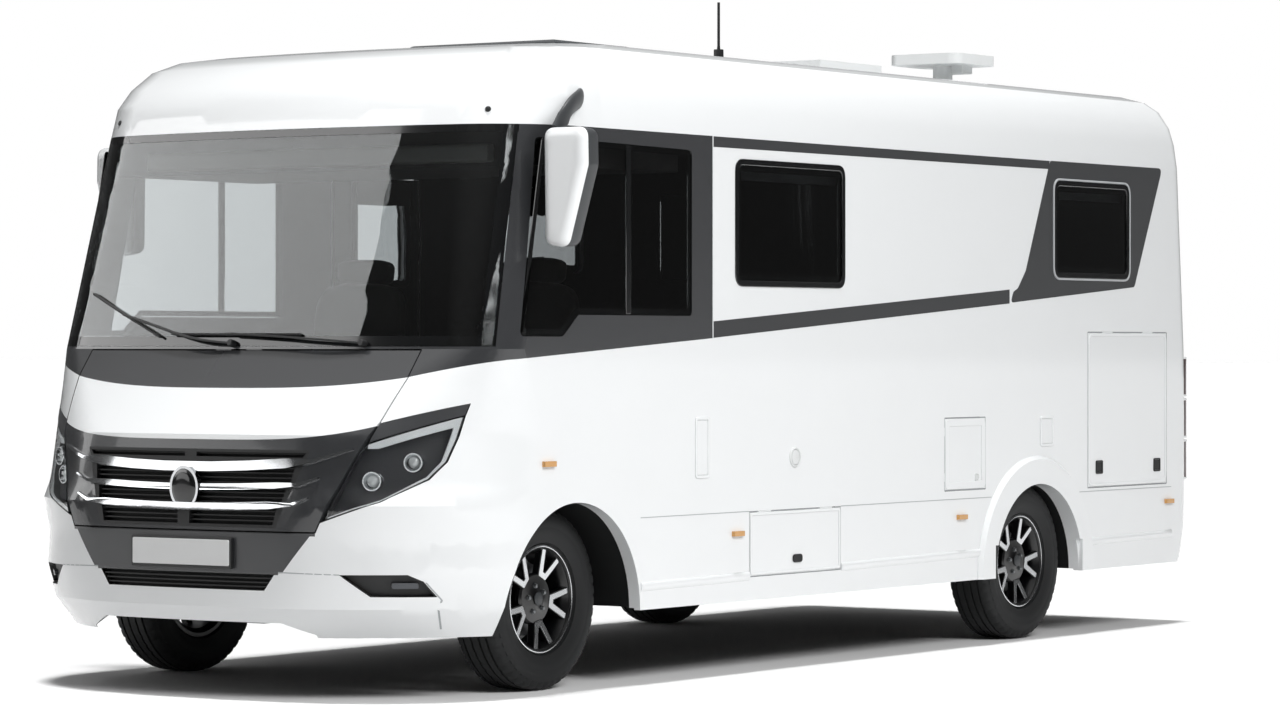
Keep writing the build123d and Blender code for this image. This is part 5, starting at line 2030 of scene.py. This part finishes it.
@dataclass
class RoofGear:
    """Skirt of the roof light, feet and cable gland on the roof."""

    roof_z: float = 2680.0
    hatch: Box = (-400.0, 400.0, -1250.0, -650.0)
    hatch_edge: float = 14.0
    whip: Point3 = (900.0, -719.0, 2654.0)
    gland: Point3 = (620.0, 1820.0, 2664.0)

    # profiles along the axis and radius
    SLEEVE = ((0, 0.5), (0, 22), (38, 21.5), (41, 20), (41.5, 7.5), (60, 6.2), (246, 6), (247, 0.5))
    GLAND = ((0.0, 0.5), (0.0, 34), (10, 33), (22, 24), (34, 12), (36, 0.5))

    def build(self, bench: Bench) -> None:
        """Builds the roof light's frame and the gland of the aerial."""
        x0, x1, y0, y1 = self.hatch
        edge = self.hatch_edge
        bench.ring("hatch_frame", rect(x0 - edge, x1 + edge, y0 - edge, y1), 22.0, 40.0, Facing.Z,
                   self.roof_z + 10.4, self.roof_z + 22.0, WHITE_PLASTIC, "coach", 3.0)
        bench.turned("whip_sleeve", self.SLEEVE, self.whip, Vector((0, 0, 1)), BLACK_PLASTIC, "coach", 20)
        bench.turned("aerial_gland", self.GLAND, self.gland, Vector((0.2, 0, 1)), WHITE_PLASTIC, "coach",
                     32)


@dataclass
class PackedNodes:
    """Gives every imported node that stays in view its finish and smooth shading."""

    smooth: float = 24.0

    def smoother(self) -> bpy.types.NodeTree:
        """Node group that shades faces smooth except across sharp edges."""
        tree = bpy.data.node_groups.new("smooth_by_angle", "GeometryNodeTree")
        tree.interface.new_socket("Geometry", in_out="INPUT", socket_type="NodeSocketGeometry")
        tree.interface.new_socket("Geometry", in_out="OUTPUT", socket_type="NodeSocketGeometry")
        start = add_node(tree, "NodeGroupInput").outputs[0]
        angle = add_node(tree, "GeometryNodeInputMeshEdgeAngle").outputs[0]
        limit = math.radians(self.smooth)
        soft = add_node(tree, "FunctionNodeCompare", {"operation": "LESS_EQUAL", 1: limit},
                        {0: angle}).outputs[0]
        faces = add_node(tree, "GeometryNodeSetShadeSmooth", {"domain": "FACE"}, {0: start}).outputs[0]
        edges = add_node(tree, "GeometryNodeSetShadeSmooth", {"domain": "EDGE"},
                         {0: faces, "Shade Smooth": soft}).outputs[0]
        add_node(tree, "NodeGroupOutput", links={0: edges})
        return tree

    def dress(self) -> None:
        """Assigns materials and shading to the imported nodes."""
        finishes = {
            "front_mask": GELCOAT_NOSE, "front_bumper": GELCOAT_NOSE, "plate_panel": GRAPHITE,
            "cab_frame": GELCOAT_NOSE, "windscreen": SCREEN_GLASS, "front_cap": GELCOAT,
            "roof_panel": GELCOAT, "side_wall_left": GELCOAT, "side_wall_right": GELCOAT,
            "rear_wall": GELCOAT, "rear_bumper": GELCOAT, "skirts": GELCOAT, "windows": ACRYLIC,
            "arch_flares": GELCOAT_PLAIN, "lamps": TAIL_LENS, "mirror_arms": GREY_PLASTIC,
            "roof_gear": WHITE_PLASTIC, "chassis_frame": STEEL_GALV, "engine_block": CAST_IRON,
            "front_suspension": STEEL_BLACK, "rear_axle": STEEL_BLACK, "floor_panel": BOARD_DARK,
            "cab_floor": STEEL_BLACK, "tanks": BLACK_PLASTIC, "exhaust": STEEL_GALV,
            "dashboard": TRIM_SOFT, "seats": WOVEN, "drop_bed": TRIM_SOFT, "bonnet": GELCOAT_LID,
            "grille": GRILLE_BLACK, "grille_bars": CHROME, "entrance_door": GELCOAT,
            "door_window": ACRYLIC, "garage_door_left": GELCOAT, "garage_door_right": GELCOAT,
            "cassette_flap": GELCOAT, "locker_flap": GELCOAT, "roof_hatch": DOME_SMOKE,
            "knuckle_left": CAST_IRON, "knuckle_right": CAST_IRON, "steering_wheel": TRIM_SOFT,
            "mirrors": GELCOAT, "wipers": BLACK_PLASTIC, "headlights": GLOSS_BLACK,
        }
        for corner in ("front_left", "front_right", "rear_left", "rear_right"):
            finishes[f"wheel_{corner}"] = ALLOY_BLACK
            finishes[f"tyre_{corner}"] = TYRE_RUBBER
        group = self.smoother()
        for name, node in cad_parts.items():
            node.data.materials.clear()
            node.data.materials.append(finishes[name].material())
            if "custom_normal" in node.data.attributes:
                node.data.attributes.remove(node.data.attributes["custom_normal"])
            weld = node.modifiers.new("weld", "WELD")
            weld.merge_threshold = 0.00005
            soft = node.modifiers.new("soft", "NODES")
            soft.node_group = group
            even = node.modifiers.new("even", "WEIGHTED_NORMAL")
            even.keep_sharp = True


# name, half track and place along the body of each axle
AXLES = (("front", 905.0, -2170.0), ("rear", 995.0, 1630.0))
# middle of each mirror's head across and along the body, and the bends of its arm
MIRRORS = {
    Side.LEFT: (1365.0, -2490.0, ((1240.0, -2260.0, 2395.0), (1312.0, -2430.0, 2352.0),
                                  (1300.0, -2490.0, 2258.0))),
    Side.RIGHT: (1290.0, -2150.0, ((1215.0, -2140.0, 2402.0), (1268.0, -2148.0, 2350.0),
                                   (1270.0, -2150.0, 2258.0))),
}


def main() -> None:
    """Builds every assembly in order and reports it."""
    logging.basicConfig(level=logging.INFO, format="%(message)s")
    bench = Bench()
    skin = FrontSkin()
    Studio().build()
    PackedNodes().dress()
    log.info("packed nodes dressed")
    wheels = [Wheel(f"{end}_{side.name.lower()}", side.value * x, y, side)
              for end, x, y in AXLES for side in Side]
    mirrors = [Mirror(side, x, y, bends) for side, (x, y, bends) in MIRRORS.items()]
    parts: list[Any] = [FrontFace(skin), Windscreen(skin), SideGraphics(), WindowTrim(), WallFittings(),
                        WheelArches(skin), *wheels, *mirrors, Lights(skin), Cabin(), RoofGear()]
    for part in parts:
        before = bench.made
        part.build(bench)
        log.info("%s: %d pieces", type(part).__name__, bench.made - before)


if __name__ == "__main__":
    main()
